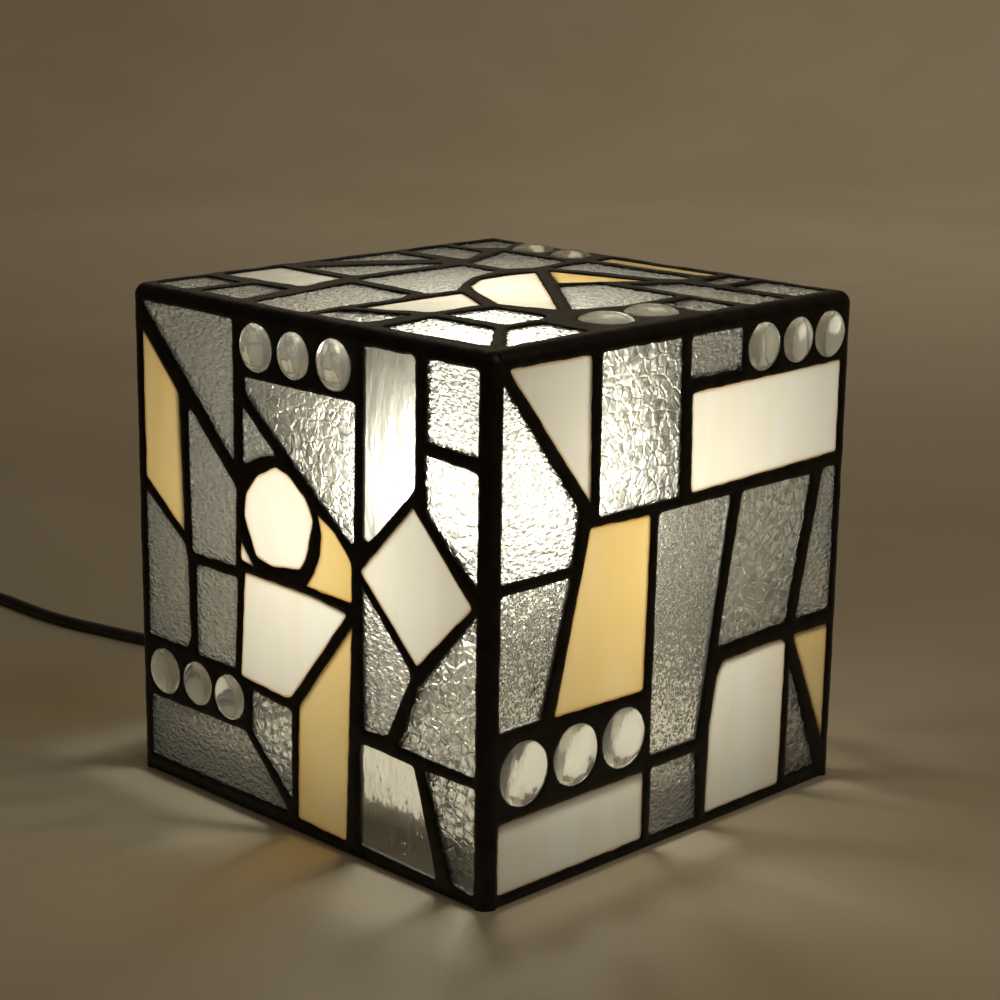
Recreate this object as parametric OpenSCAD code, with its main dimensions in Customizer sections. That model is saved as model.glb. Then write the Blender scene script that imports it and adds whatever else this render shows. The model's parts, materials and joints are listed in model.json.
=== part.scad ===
// Cube lamp of soldered art glass: a five-sided glass shade that lifts off a
// base board with a lampholder, its bulb, and a mains cord with a switch and plug.
// Z is up, the origin is on the table under the middle of the cube.
// Each side face is drawn flat, seen from outside: u runs to the right from the
// middle, v runs up from the table. The top is drawn as seen from above.

/* [Cube] */
// Outer width, depth and height of the glass cube
cube_w = 180; // [170:1:200]
// Height of the thin solder-covered rim that stands on the table
rim_h = 2.5; // [2:0.5:3]
// Height of the rim bar on the side where the cord comes out
sill_h = 12; // [11:1:14]

/* [Glass] */
// Thickness of the sheet glass
glass_t = 3; // [2.5:0.5:3]
// How far the solder laps over the edge of each pane
lap = 1; // [0.8:0.1:1.1]
// How far the glass nuggets stand proud of the solder
nugget_rise = 2.5; // [2:0.5:3]

/* [Solder] */
// Thickness of the whole solder seam, which is also the radius of the cube's edges
seam_t = 4.5; // [4.5:0.1:5]

/* [Base] */
// Width of the base board inside the shade
board_w = 152; // [150:1:166]
// Thickness of the base board
board_t = 6; // [5:1:8]
// Height of the rubber feet
foot_h = 10; // [10:1:12]
// Diameter of the rubber feet
foot_d = 14; // [12:1:20]

/* [Lampholder] */
// Outside diameter of the lampholder
holder_d = 28; // [27:1:30]
// Height of the lampholder from its base to the rim of its sleeve
holder_h = 57; // [55:1:60]
// Outside diameter of the threaded nipple
nipple_d = 10; // [9:1:10]

/* [Bulb] */
// Diameter of the frosted globe
bulb_d = 45; // [40:1:50]
// Length of the bulb from the tip of its contact to the top of its globe
bulb_l = 78; // [75:1:82]

/* [Cord] */
// Diameter of the mains cord
cord_d = 5; // [4.8:0.1:5.2]
// Radius of the outermost turn of the coil, at the middle of the cord
coil_r = 32.5; // [32:0.5:34]
// Layers of turns in the coil
coil_layers = 4; // [3:1:5]

/* [Switch] */
// Length of the cord switch
switch_l = 60; // [56:1:64]
// Width of the cord switch
switch_w = 24; // [22:1:28]
// Height of the cord switch
switch_h = 16; // [15:1:18]
// Tilt of the rocker either way from level, in degrees
rocker_tilt = 8; // [5:1:9]

/* [Plug] */
// Width of the two-pin plug
plug_w = 35.3; // [30:0.1:36]
// Thickness of the two-pin plug
plug_t = 13.7; // [12:0.1:15]
// Distance between the two pins
pin_gap = 18.6; // [18:0.1:19]
// Diameter of a pin
pin_d = 4; // [3.8:0.1:4.2]
// Length of a pin
pin_l = 19; // [18:0.5:20]

/* [Hidden] */
$fn = 48;

// Colours
SOLDER = [0.07, 0.065, 0.06];
CLEAR = [0.72, 0.75, 0.74, 0.6];
CRACKLE = [0.8, 0.83, 0.82, 0.6];
SEEDY = [0.88, 0.88, 0.84, 0.6];
OPAL = [0.95, 0.92, 0.85];
CHAMPAGNE = [0.86, 0.72, 0.42];
BLACK = [0.05, 0.05, 0.05];
BRASS = [0.75, 0.6, 0.3];
STEEL = [0.7, 0.7, 0.7];
WHITE = [0.93, 0.92, 0.9];

// The panes are drawn on a face 180 wide and scale with the cube
DRAWN_W = 180;
scale_f = cube_w / DRAWN_W;
half = cube_w / 2;
panel = half - seam_t;          // inner plane of the side faces, and half their width
glass_z = (seam_t - glass_t) / 2;

// Front face: [kind of glass, outline of the opening between the seams]
FRONT = [
    ["hammered", [[-84, 174], [-34, 174], [-34, 125]]],
    ["champagne", [[-84, 164], [-64, 144], [-62, 94], [-84, 111]]],
    ["hammered", [[-59, 139], [-57, 139], [-33, 116], [-34, 88], [-58, 88]]],
    ["crackle", [[-28, 155], [28, 155], [27, 108], [24, 109], [-27, 149]]],
    ["hammered", [[-29, 145], [-12, 131], [-20, 129], [-29, 125]]],
    ["opal", [[-12, 127], [-5, 125], [3, 119], [7, 112], [3, 98], [0, 94], [-15, 92],
              [-23, 94], [-29, 107], [-28, 115], [-22, 122]]],
    ["champagne", [[9, 115], [18, 110], [26, 102], [26, 88], [3, 89], [7, 94], [10, 101], [11, 108]]],
    ["opal", [[-31, 98], [-24, 90], [-31, 91]]],
    ["opal", [[-29, 87], [5, 86], [24, 84], [-5, 48], [-9, 47], [-32, 49]]],
    ["champagne", [[26, 80], [23, 4], [-2, 5], [-1, 46]]],
    ["hammered", [[-84, 106], [-62, 90], [-61, 84], [-60, 57], [-62, 52], [-84, 52]]],
    ["hammered", [[-56, 84], [-33, 84], [-35, 51], [-56, 51]]],
    ["hammered", [[-84, 29], [-30, 29], [-7, 6], [-84, 6]]],
    ["crackle", [[-26, 45], [-5, 43], [-5, 11], [-26, 30]]],
    ["seedy", [[32, 174], [56, 174], [56, 132], [34, 110], [31, 111]]],
    ["hammered", [[61, 174], [84, 174], [84, 147], [61, 148]]],
    ["crackle", [[60, 144], [84, 142], [84, 105], [61, 125]]],
    ["opal", [[55, 126], [82, 99], [57, 74], [30, 100]]],
    ["hammered", [[31, 95], [54, 72], [54, 69], [43, 47], [32, 46]]],
    ["crackle", [[84, 97], [84, 44], [49, 45], [58, 67]]],
    ["seedy", [[30, 41], [56, 40], [67, 4], [30, 5]]],
    ["crackle", [[61, 40], [84, 40], [84, 4], [74, 5]]]];
// Nuggets of a face: [u, v, visible radius]
FRONT_NUGGETS = [[-21, 166, 8.2], [-2, 166, 7.8], [18, 166, 8.4],
                 [-75, 40, 8.4], [-56, 40, 7.8], [-38, 39.5, 8]];

RIGHT = [
    ["opal", [[-82, 174], [-45, 174], [-44, 126]]],
    ["hammered", [[-84, 170], [-49, 124], [-52, 107], [-84, 107]]],
    ["crackle", [[-40, 174], [-2, 174], [-1, 121], [-40, 121]]],
    ["hammered", [[3, 174], [29, 174], [29, 160], [3, 160]]],
    ["opal", [[4, 155], [84, 156], [84, 123], [5, 121]]],
    ["champagne", [[-44, 118], [-15, 117], [-16, 57], [-59, 58]]],
    ["glitter", [[-84, 103], [-52, 103], [-65, 59], [-84, 59]]],
    ["glitter", [[-11, 117], [26, 117], [12, 33], [-12, 33]]],
    ["crackle", [[32, 117], [70, 117], [59, 65], [22, 64]]],
    ["hammered", [[77, 118], [84, 118], [84, 65], [65, 65]]],
    ["opal", [[-84, 28], [-15, 28], [-15, 4], [-84, 4]]],
    ["hammered", [[-11, 28], [12, 28], [13, 4], [-11, 4]]],
    ["opal", [[25, 58], [57, 59], [60, 57], [59, 4], [18, 4], [19, 36], [22, 53]]],
    ["champagne", [[64, 59], [84, 59], [84, 15]]],
    ["crackle", [[63, 48], [80, 6], [63, 6]]]];
RIGHT_NUGGETS = [[40, 166.3, 8.2], [58.6, 166.3, 7.8], [76.4, 166.3, 8.1],
                 [-73, 43, 10.8], [-49, 43, 10.4], [-26, 43, 10.4]];

BACK = [
    ["opal", [[-84, 174], [-40, 174], [-84, 133]]],
    ["crackle", [[-34, 174], [-6, 174], [-6, 124], [-84, 124], [-84, 127]]],
    ["hammered", [[-1, 152], [58, 152], [58, 120], [-1, 128]]],
    ["champagne", [[63, 174], [84, 174], [84, 112], [63, 112]]],
    ["opal", [[-50, 118], [-22, 92], [-50, 66], [-78, 92]]],
    ["hammered", [[-84, 119], [-57, 119], [-83, 94], [-84, 94]]],
    ["crackle", [[-43, 119], [-6, 119], [-6, 94], [-17, 94]]],
    ["hammered", [[-18, 90], [-6, 90], [-6, 60], [-50, 60]]],
    ["champagne", [[-84, 88], [-56, 60], [-84, 60]]],
    ["opal", [[-1, 122], [24, 118], [18, 32], [-1, 32]]],
    ["hammered", [[30, 117], [58, 113], [58, 60], [26, 60]]],
    ["crackle", [[63, 107], [84, 107], [84, 50], [63, 56]]],
    ["opal", [[-84, 26], [-29, 26], [-37, 5], [-84, 5]]],
    ["hammered", [[-24, 26], [14, 26], [14, 5], [-32, 5]]],
    ["champagne", [[23, 54], [56, 54], [48, 5], [20, 5]]],
    ["crackle", [[62, 50], [84, 44], [84, 5], [54, 5]]]];
BACK_NUGGETS = [[9, 165, 8.2], [29, 165, 7.8], [49, 165, 8.4],
                [-70, 43, 10.8], [-45, 43, 11], [-20, 43, 10.6]];

LEFT = [
    ["crackle", [[-84, 174], [-50, 174], [-62, 128], [-84, 134]]],
    ["opal", [[-44, 174], [-5, 174], [-5, 150], [-50, 150]]],
    ["champagne", [[0, 174], [30, 174], [15, 146], [0, 146]]],
    ["hammered", [[36, 174], [84, 174], [84, 146], [21, 146]]],
    ["hammered", [[-51, 145], [-5, 145], [-5, 106], [-58, 119]]],
    ["hammered", [[-84, 129], [-66, 124], [-64, 90], [-60, 60], [-84, 60]]],
    ["opal", [[-52, 112], [-12, 101], [-6, 76], [-26, 57], [-52, 62], [-58, 86]]],
    ["crackle", [[73, 141], [84, 141], [84, 96], [73, 96]]],
    ["crackle", [[0, 112], [68, 112], [68, 82], [2, 74]]],
    ["champagne", [[5, 69], [68, 77], [68, 48], [32, 42]]],
    ["hammered", [[73, 91], [84, 91], [84, 42], [73, 46]]],
    ["crackle", [[-25, 51], [-2, 70], [27, 40], [22, 24], [-33, 24]]],
    ["opal", [[-84, 55], [-54, 55], [-38, 24], [-84, 24]]],
    ["hammered", [[32, 37], [68, 43], [84, 37], [84, 24], [28, 24]]],
    ["champagne", [[-84, 19], [-8, 19], [-8, 14], [-84, 14]]],
    ["hammered", [[-3, 19], [84, 19], [84, 14], [-3, 14]]]];
LEFT_NUGGETS = [[13, 129, 8.2], [35, 129, 8], [57, 129, 8.4]];

TOP = [
    ["hammered", [[-84, 84], [-72, 84], [-64, 70], [-74, 62], [-84, 62]]],
    ["hammered", [[-84, 57], [-64, 58], [-53, 39], [-84, 37]]],
    ["hammered", [[-59, 65], [-25, 65], [-22, 43], [-27, 33], [-46, 34]]],
    ["hammered", [[-84, 31], [-60, 31], [-84, -7]]],
    ["hammered", [[-53, 24], [-50, 24], [-50, -20], [-78, -20]]],
    ["hammered", [[-44, 28], [-25, 27], [-21, 10], [-13, -2], [-3, -15], [-4, -27], [-44, -24]]],
    ["opal", [[-15, 37], [48, -17], [28, -24], [3, -11], [-8, -3], [-16, 10], [-17, 25]]],
    ["champagne", [[-14, 43], [28, 54], [9, 24]]],
    ["hammered", [[-19, 69], [30, 71], [33, 65], [27, 60], [-18, 48]]],
    ["champagne", [[-20, 84], [33, 84], [33, 76], [-19, 74]]],
    ["crackle", [[38, 84], [49, 84], [49, 64], [39, 68]]],
    ["hammered", [[54, 84], [82, 84], [82, 66], [54, 65]]],
    ["crackle", [[38, 58], [82, 60], [83, 40], [28, 40]]],
    ["hammered", [[19, 35], [55, 35], [56, 5], [51, -13], [13, 20]]],
    ["crackle", [[61, 35], [81, 35], [82, 17], [62, 18]]],
    ["hammered", [[61, -38], [81, -38], [83, -77], [61, -54]]],
    ["hammered", [[31, -29], [53, -28], [56, -35], [56, -50], [29, -51]]],
    ["opal", [[1, -16], [24, -29], [23, -53], [1, -65]]],
    ["crackle", [[1, -71], [23, -60], [24, -82], [1, -83]]],
    ["hammered", [[30, -57], [58, -57], [79, -80], [34, -83]]],
    ["hammered", [[-39, -31], [-8, -32], [-4, -41], [-4, -84], [-30, -83], [-36, -50]]],
    ["opal", [[-84, -26], [-50, -26], [-44, -50], [-84, -53]]],
    ["hammered", [[-84, -60], [-65, -60], [-66, -83], [-84, -83]]],
    ["hammered", [[-60, -58], [-43, -57], [-37, -82], [-60, -82]]]];
TOP_NUGGETS = [[71, 3, 9], [71, -19, 9], [-54, 76, 8], [-34, 76, 7.6]];

// Lampholder and bulb heights
board_z = foot_h + board_t;
nut_h = 3;
holder_z = board_z + nut_h;
cap_top = holder_z + 18;
holder_top = holder_z + holder_h;
bulb_z = holder_z + 35;
bulb_top = bulb_z + bulb_l;
globe_z = bulb_top - bulb_d / 2;
collar_below = 16;              // from the middle of the globe down to its rim
collar_top = globe_z - collar_below;
collar_r = sqrt(pow(bulb_d / 2, 2) - pow(collar_below, 2));
thread_r = 6.95;                // outside of a 14 mm screw cap
cap_z = bulb_z + 4;

// Clamp under the board, where its two screws stand
clamp_x = -70;
clamp_l = 10;
clamp_w = 26;
screw_y = 8;
screw_d = 2.4;

// Cord: route of the middle of the cord, outside the coil
cord_r = cord_d / 2;
relief_z = 4;
RUN = [[-125, 0, 4], [-138, 0, 3.6], [-151, 0, 3], [-164, 0, 2.6], [-177, -1, 2.5],
       [-190, -2, 2.5], [-202, -4, 2.5], [-214, -7, 2.5], [-227, -10, 2.5], [-240, -13, 2.5],
       [-253, -15, 2.5], [-266, -16, 2.5], [-279, -16, 2.5], [-292, -16, 2.5], [-305, -17, 2.5],
       [-317, -19, 2.5], [-328, -20, 2.8], [-339, -20, 4.6], [-350, -20, 6]];
LEAD = [[-410, -20, 6], [-420, -21, 5.2], [-429, -25, 4.2], [-436, -33, 3.5], [-440, -44, 3.5],
        [-441, -56, 3.5], [-441, -69, 3.5]];
TAIL = [[-401, -113, 18.5], [-394, -113, 18], [-384, -113, 15.4], [-373, -113, 11.8],
        [-362, -113, 8.8], [-351, -113, 7.2], [-340, -113, 6.85]];
COIL_C = [-408.5, -80, 0];
coil_z = 1;
coil_turns_across = 3;
coil_in = coil_r - (coil_turns_across - 1) * cord_d - cord_r;
coil_out = coil_r + cord_r;
coil_h = coil_layers * cord_d;
switch_pos = [-380, -20, 0];
switch_split = 6;
switch_wall = 2;
pivot_z = switch_h - 3.4;
plug_pos = [-340, -113, 6.85];
tail_l = 22;
plug_l = 36;

// ---- helpers ----
function unit(v) = v / norm(v);
// Twice the signed area of an outline, positive when it runs anticlockwise
function area2(p) = let (n = len(p))
    [for (i = 0, s = 0; i <= n; s = s + (i < n ? p[i].x * p[(i + 1) % n].y - p[(i + 1) % n].x * p[i].y : 0),
         i = i + 1) if (i == n) s][0];
// Outline moved outwards by d, with the sharpest points cut across
function grown(p, d) = let (n = len(p), s = sign(area2(p)))
    [for (i = [0:n - 1])
        let (a = unit(p[i] - p[(i + n - 1) % n]), b = unit(p[(i + 1) % n] - p[i]),
             na = s * [a.y, -a.x], nb = s * [b.y, -b.x], c = na * nb)
        each c > -0.2 ? [p[i] + d * (na + nb) / (1 + c)]
                      : [p[i] + d * (na + 0.5 * a), p[i] + d * (nb - 0.5 * b)]];
// Flat drawing of a side face, stood up on its side of the cube, inner plane at local z = 0
module side(turn) { rotate([0, 0, 90 * turn]) translate([0, -panel, 0]) rotate([90, 0, 0]) children(); }
module top_side() { translate([0, 0, cube_w - seam_t]) children(); }
// Glass panes of one kind: prisms that fill the grooves between the two laps of solder
module panes(face, kinds) {
    for (p = face, kind = kinds) if (p[0] == kind)
        translate([0, 0, glass_z]) linear_extrude(glass_t) polygon(grown(p[1] * scale_f, lap));
}
// One nugget: flat back, round edge and a low dome
module nugget(r) {
    outer = r + 0.8;
    dome_z = seam_t / 2 + 0.8;
    dome_h = seam_t + nugget_rise - dome_z;
    rotate_extrude()
        polygon([[0, 0.6], [outer - 1, 0.6], [outer, 1.8],
                 for (a = [0:15:75]) [outer * cos(a), dome_z + dome_h * sin(a)],
                 [0, seam_t + nugget_rise]]);
}
module nuggets(list) { for (g = list) translate([g.x * scale_f, g.y * scale_f, 0]) nugget(g.z * scale_f); }
// Solder of one face: a plate with an opening and a groove for every pane
module seams(face, list, low, high) {
    difference() {
        translate([low.x, low.y, 0]) cube([high.x - low.x, high.y - low.y, seam_t]);
        for (p = face) {
            translate([0, 0, -1]) linear_extrude(seam_t + 2) polygon(p[1] * scale_f);
            translate([0, 0, glass_z]) linear_extrude(glass_t) polygon(grown(p[1] * scale_f, lap));
        }
        nuggets(list);
        for (g = list) translate([g.x * scale_f, g.y * scale_f, -1]) cylinder(r = (g.z - 0.6) * scale_f, h = 2);
    }
}
module side_seams(face, list, foot) { seams(face, list, [-panel, foot], [panel, cube_w - seam_t]); }
module ring(outer, inner, h) {
    difference() { cylinder(r = outer, h = h); translate([0, 0, -1]) cylinder(r = inner, h = h + 2); }
}
// Tube of radius r through the points of a route
module tube(route, r, sides) {
    n = len(route);
    rings = [for (i = [0:n - 1])
        let (t = unit(route[min(i + 1, n - 1)] - route[max(i - 1, 0)]),
             side = unit(cross(t, abs(t.z) > 0.9 ? [0, 1, 0] : [0, 0, 1])), up = cross(side, t))
        for (k = [0:sides - 1]) route[i] + r * (cos(360 * k / sides) * side + sin(360 * k / sides) * up)];
    walls = [for (i = [0:n - 2], k = [0:sides - 1])
        [i * sides + k, i * sides + (k + 1) % sides, (i + 1) * sides + (k + 1) % sides, (i + 1) * sides + k]];
    ends = [[for (k = [sides - 1:-1:0]) k], [for (k = [0:sides - 1]) (n - 1) * sides + k]];
    polyhedron(points = rings, faces = concat(walls, ends));
}
module rounded_block(l, w, h, r) {
    for (s = [[l, w - 2 * r], [l - 2 * r, w]]) translate([-s.x / 2, -s.y / 2, 0]) cube([s.x, s.y, h]);
    for (x = [-1, 1], y = [-1, 1]) translate([x * (l / 2 - r), y * (w / 2 - r), 0]) cylinder(r = r, h = h);
}

// ---- shade: solder ----
module rim_front_back() {
    color(SOLDER) for (turn = [0, 2]) rotate([0, 0, 90 * turn])
        translate([-half, -half, 0]) cube([cube_w, seam_t, rim_h]);
}
module rim_sides() {
    notch_w = 9;
    notch_h = 8.5;
    color(SOLDER) {
        translate([panel, -panel, 0]) cube([seam_t, 2 * panel, rim_h]);
        difference() {
            translate([-half, -panel, 0]) cube([seam_t, 2 * panel, sill_h]);
            translate([-half - 1, -notch_w / 2, -1]) cube([seam_t + 2, notch_w, notch_h + 1 - notch_w / 2]);
            translate([-half - 1, 0, notch_h - notch_w / 2]) rotate([0, 90, 0]) cylinder(d = notch_w, h = seam_t + 2);
        }
    }
}
module corner_seams() {
    color(SOLDER) for (turn = [0:3]) rotate([0, 0, 90 * turn]) intersection() {
        translate([panel, -panel, rim_h]) cylinder(r = seam_t, h = cube_w - seam_t - rim_h);
        translate([panel, -half - 1, 0]) cube([seam_t + 1, seam_t + 1, cube_w]);
    }
}
module top_edge_seams() {
    color(SOLDER) for (turn = [0:3]) rotate([0, 0, 90 * turn]) translate([0, 0, cube_w - seam_t]) {
        intersection() {
            translate([-panel, -panel, 0]) rotate([0, 90, 0]) cylinder(r = seam_t, h = 2 * panel);
            translate([-half, -half - 1, 0]) cube([cube_w, seam_t + 1, seam_t + 1]);
        }
        intersection() {
            translate([panel, -panel, 0]) sphere(r = seam_t);
            translate([panel, -half - 1, 0]) cube([seam_t + 1, seam_t + 1, seam_t + 1]);
        }
    }
}
module front_seams() { color(SOLDER) side(0) side_seams(FRONT, FRONT_NUGGETS, rim_h); }
module right_seams() { color(SOLDER) side(1) side_seams(RIGHT, RIGHT_NUGGETS, rim_h); }
module back_seams() { color(SOLDER) side(2) side_seams(BACK, BACK_NUGGETS, rim_h); }
module left_seams() { color(SOLDER) side(3) side_seams(LEFT, LEFT_NUGGETS, sill_h); }
module top_seams() { color(SOLDER) top_side() seams(TOP, TOP_NUGGETS, [-panel, -panel], [panel, panel]); }

// ---- shade: glass ----
module front_hammered() { color(CLEAR) side(0) panes(FRONT, ["hammered"]); }
module front_crackle() { color(CRACKLE) side(0) panes(FRONT, ["crackle"]); }
module front_seedy() { color(SEEDY) side(0) panes(FRONT, ["seedy"]); }
module front_opal() { color(OPAL) side(0) panes(FRONT, ["opal"]); }
module front_champagne() { color(CHAMPAGNE) side(0) panes(FRONT, ["champagne"]); }
module right_hammered() { color(CLEAR) side(1) panes(RIGHT, ["hammered"]); }
module right_crackle() { color(CRACKLE) side(1) panes(RIGHT, ["crackle"]); }
module right_glitter() { color(SEEDY) side(1) panes(RIGHT, ["glitter"]); }
module right_opal() { color(OPAL) side(1) panes(RIGHT, ["opal"]); }
module right_champagne() { color(CHAMPAGNE) side(1) panes(RIGHT, ["champagne"]); }
module back_clear() { color(CLEAR) side(2) panes(BACK, ["hammered", "crackle"]); }
module back_opal() { color(OPAL) side(2) panes(BACK, ["opal"]); }
module back_champagne() { color(CHAMPAGNE) side(2) panes(BACK, ["champagne"]); }
module left_clear() { color(CLEAR) side(3) panes(LEFT, ["hammered", "crackle"]); }
module left_opal() { color(OPAL) side(3) panes(LEFT, ["opal"]); }
module left_champagne() { color(CHAMPAGNE) side(3) panes(LEFT, ["champagne"]); }
module top_clear() { color(CLEAR) top_side() panes(TOP, ["hammered"]); }
module top_crackle() { color(CRACKLE) top_side() panes(TOP, ["crackle"]); }
module top_opal() { color(OPAL) top_side() panes(TOP, ["opal"]); }
module top_champagne() { color(CHAMPAGNE) top_side() panes(TOP, ["champagne"]); }
module glass_nuggets() {
    color(SEEDY) {
        side(0) nuggets(FRONT_NUGGETS);
        side(1) nuggets(RIGHT_NUGGETS);
        side(2) nuggets(BACK_NUGGETS);
        side(3) nuggets(LEFT_NUGGETS);
        top_side() nuggets(TOP_NUGGETS);
    }
}

// ---- base ----
module base_board() {
    color(WHITE) difference() {
        translate([-board_w / 2, -board_w / 2, foot_h]) cube([board_w, board_w, board_t]);
        translate([0, 0, foot_h - 1]) cylinder(d = nipple_d, h = board_t + 2);
        for (y = [-1, 1]) translate([clamp_x, y * screw_y, foot_h - 1]) cylinder(d = screw_d, h = 5);
    }
}
module rubber_feet() {
    reach = board_w / 2 - 16;
    color(BLACK) for (x = [-1, 1], y = [-1, 1]) translate([x * reach, y * reach, 0])
        cylinder(d1 = foot_d - 2, d2 = foot_d, h = foot_h, $fn = 64);
}
module threaded_nipple() { color(BRASS) translate([0, 0, foot_h - 4]) ring(nipple_d / 2, 3.5, holder_z + 6 - foot_h + 4); }
module nipple_nuts() {
    color(BRASS) for (z = [foot_h - nut_h, board_z]) translate([0, 0, z]) difference() {
        cylinder(d = 17, h = nut_h, $fn = 6);
        translate([0, 0, -1]) cylinder(d = nipple_d, h = nut_h + 2);
    }
}
module holder_cap() {
    color(BLACK) translate([0, 0, holder_z]) difference() {
        rotate_extrude() polygon([[0, 0], [9, 0], [12, 1.2], [holder_d / 2, 6], [holder_d / 2, 18], [0, 18]]);
        translate([0, 0, -1]) cylinder(d = nipple_d, h = 8);
        translate([0, 0, 7]) cylinder(r = holder_d / 2 - 2, h = 12);
    }
}
module holder_sleeve() {
    color(BLACK) translate([0, 0, cap_top]) ring(holder_d / 2, holder_d / 2 - 1.6, holder_top - cap_top);
}
module holder_insert() {
    color(WHITE) translate([0, 0, cap_top]) difference() {
        union() {
            translate([0, 0, -4]) cylinder(r = holder_d / 2 - 2, h = 4);
            cylinder(r = holder_d / 2 - 1.6, h = 8);
            cylinder(r = 10.4, h = holder_top - cap_top - 4);
        }
        translate([0, 0, 8]) cylinder(r = 8.6, h = holder_top);
        for (x = [-3, 3]) translate([x, 0, -5]) cylinder(d = 2.4, h = 10);
    }
}
module thread_shell() {
    color(BRASS) translate([0, 0, cap_top + 12]) ring(8.6, 7.2, holder_top - cap_top - 18);
}
module holder_contact() {
    strip = 0.6;
    color(BRASS) translate([0, 2.5, cap_top + 8]) rotate([90, 0, 0]) linear_extrude(5)
        polygon([[-6, 0], [6, 0], [6, strip], [-4, strip], [3, bulb_z - cap_top - 8.1 - strip],
                 [3, bulb_z - cap_top - 8.1], [1, bulb_z - cap_top - 8.1], [-6, strip]]);
}
module cord_clamp() {
    color(BLACK) difference() {
        translate([clamp_x - clamp_l / 2, -clamp_w / 2, 1]) cube([clamp_l, clamp_w, foot_h - 1]);
        translate([clamp_x - clamp_l / 2 - 1, 0, relief_z]) rotate([0, 90, 0]) cylinder(d = cord_d, h = clamp_l + 2);
        for (y = [-1, 1]) translate([clamp_x, y * screw_y, 0]) cylinder(d = screw_d, h = foot_h + 1);
    }
}
module clamp_screws() {
    color(STEEL) for (y = [-1, 1]) translate([clamp_x, y * screw_y, 0.2]) {
        cylinder(d = 4.4, h = 0.8);
        cylinder(d = screw_d, h = foot_h + 3);
    }
}
module inner_lead() {
    color(BLACK) translate([-80, 0, relief_z]) rotate([0, 90, 0]) cylinder(d = cord_d, h = 24);
}
module core_wires() {
    for (s = [-1, 1]) color(s > 0 ? [0.1, 0.2, 0.6] : [0.4, 0.22, 0.1])
        tube([[-56, 1.3 * s, relief_z], [-44, 2 * s, 3.4], [-30, 2 * s, 2.6], [-14, 1.6 * s, 2.2], [-5, 1.5 * s, 2.2],
              [-2, 1.5 * s, 2.8], [-0.4, 1.5 * s, 4.6], [0, 1.5 * s, 8], [0, 1.5 * s, 14], [0, 1.5 * s, 20],
              [s, 1.2 * s, 26], [2.6 * s, 0.5 * s, 31], [3 * s, 0, cap_top - 4]], 1, 8);
}

// ---- bulb ----
module bulb_globe() {
    color([1, 0.98, 0.92]) difference() {
        translate([0, 0, globe_z]) sphere(d = bulb_d, $fn = 96);
        translate([0, 0, globe_z]) sphere(d = bulb_d - 2, $fn = 96);
        translate([0, 0, collar_top - 40]) cylinder(d = bulb_d, h = 40);
    }
}
module bulb_collar() {
    color(WHITE) rotate_extrude()
        polygon([[5.4, cap_z + 8], [6.4, cap_z + 8], [6.4, cap_z + 16], [8.4, cap_z + 17],
                 [9.5, cap_z + 20], [collar_r, collar_top], [collar_r - 1.2, collar_top],
                 [collar_r - 1.2, collar_top - 2], [8.3, cap_z + 20], [5.4, cap_z + 15]]);
}
module bulb_led_board() {
    color(STEEL) translate([0, 0, collar_top - 2]) rotate_extrude()
        polygon([[0, 0], [collar_r - 1.2, 0], [collar_r - 1.2, 1.4], [5, 1.4], [5, 3], [0, 3.4]]);
}
module bulb_cap() {
    color(STEEL) translate([0, 0, cap_z]) ring(thread_r, 6.4, 16);
}
module bulb_insulator() {
    color(BLACK) translate([0, 0, bulb_z + 1.2]) rotate_extrude()
        polygon([[0, 0], [3, 0], [6.4, 2.8], [6.4, 5], [0, 5]]);
}
module bulb_contact() { color(BRASS) translate([0, 0, bulb_z]) cylinder(r = 2.5, h = 1.2); }

// ---- cord ----
module strain_relief() {
    color(BLACK) translate([-80, 0, relief_z]) rotate([0, -90, 0]) difference() {
        rotate_extrude()
            polygon([[0, 0], [3.7, 0], [3.7, 14], [3.4, 20], [cord_r + 0.4, 45], [0, 45]]);
        for (k = [0:3]) translate([0, 0, 20 + 6 * k]) ring(5, 2.9 - 0.05 * k, 1.2);
    }
}
module cord_run() { color(BLACK) tube(RUN, cord_r, 8); }
module cord_lead() { color(BLACK) tube(LEAD, cord_r, 8); }
module cord_tail() { color(BLACK) tube(TAIL, cord_r, 8); }
// Section of the coil: a block with round corners
module coil_section(grow) {
    for (s = [[cord_r, 0], [0, cord_r]])
        translate([coil_in - grow + s.x, coil_z - grow + s.y])
            square([coil_out - coil_in + 2 * grow - 2 * s.x, coil_h + 2 * grow - 2 * s.y]);
    for (x = [coil_in - grow + cord_r, coil_out + grow - cord_r], z = [coil_z - grow + cord_r, coil_z + coil_h + grow - cord_r])
        translate([x, z]) circle(r = cord_r);
}
module cord_coil() { color(BLACK) translate(COIL_C) rotate_extrude() coil_section(0); }
module coil_tie() {
    color([0.15, 0.15, 0.15]) translate(COIL_C) rotate([0, 0, 38]) rotate_extrude(angle = 16)
        difference() { coil_section(1); coil_section(0); }
}

// ---- switch on the cord ----
module switch_base() {
    color(BLACK) translate(switch_pos) difference() {
        rounded_block(switch_l, switch_w, switch_split, 6);
        translate([0, 0, switch_wall]) rounded_block(switch_l - 8, switch_w - 6, switch_split, 4);
    }
}
module switch_cover() {
    inside_h = switch_h - switch_wall - switch_split;
    color(BLACK) translate(switch_pos) {
        difference() {
            translate([0, 0, switch_split]) rounded_block(switch_l, switch_w, switch_h - switch_split, 6);
            translate([0, 0, switch_split - 1]) rounded_block(switch_l - 8, switch_w - 6, inside_h + 1, 4);
            translate([-10, -4.5, switch_split]) cube([20, 9, switch_h]);
        }
        for (y = [-1, 1]) difference() {
            translate([-3, y * 5.5 - 0.8, switch_h - 6]) cube([6, 1.6, 4]);
            translate([0, y * 5.5 - 1, pivot_z]) rotate([-90, 0, 0]) cylinder(d = 2.5, h = 2);
        }
    }
}
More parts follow.
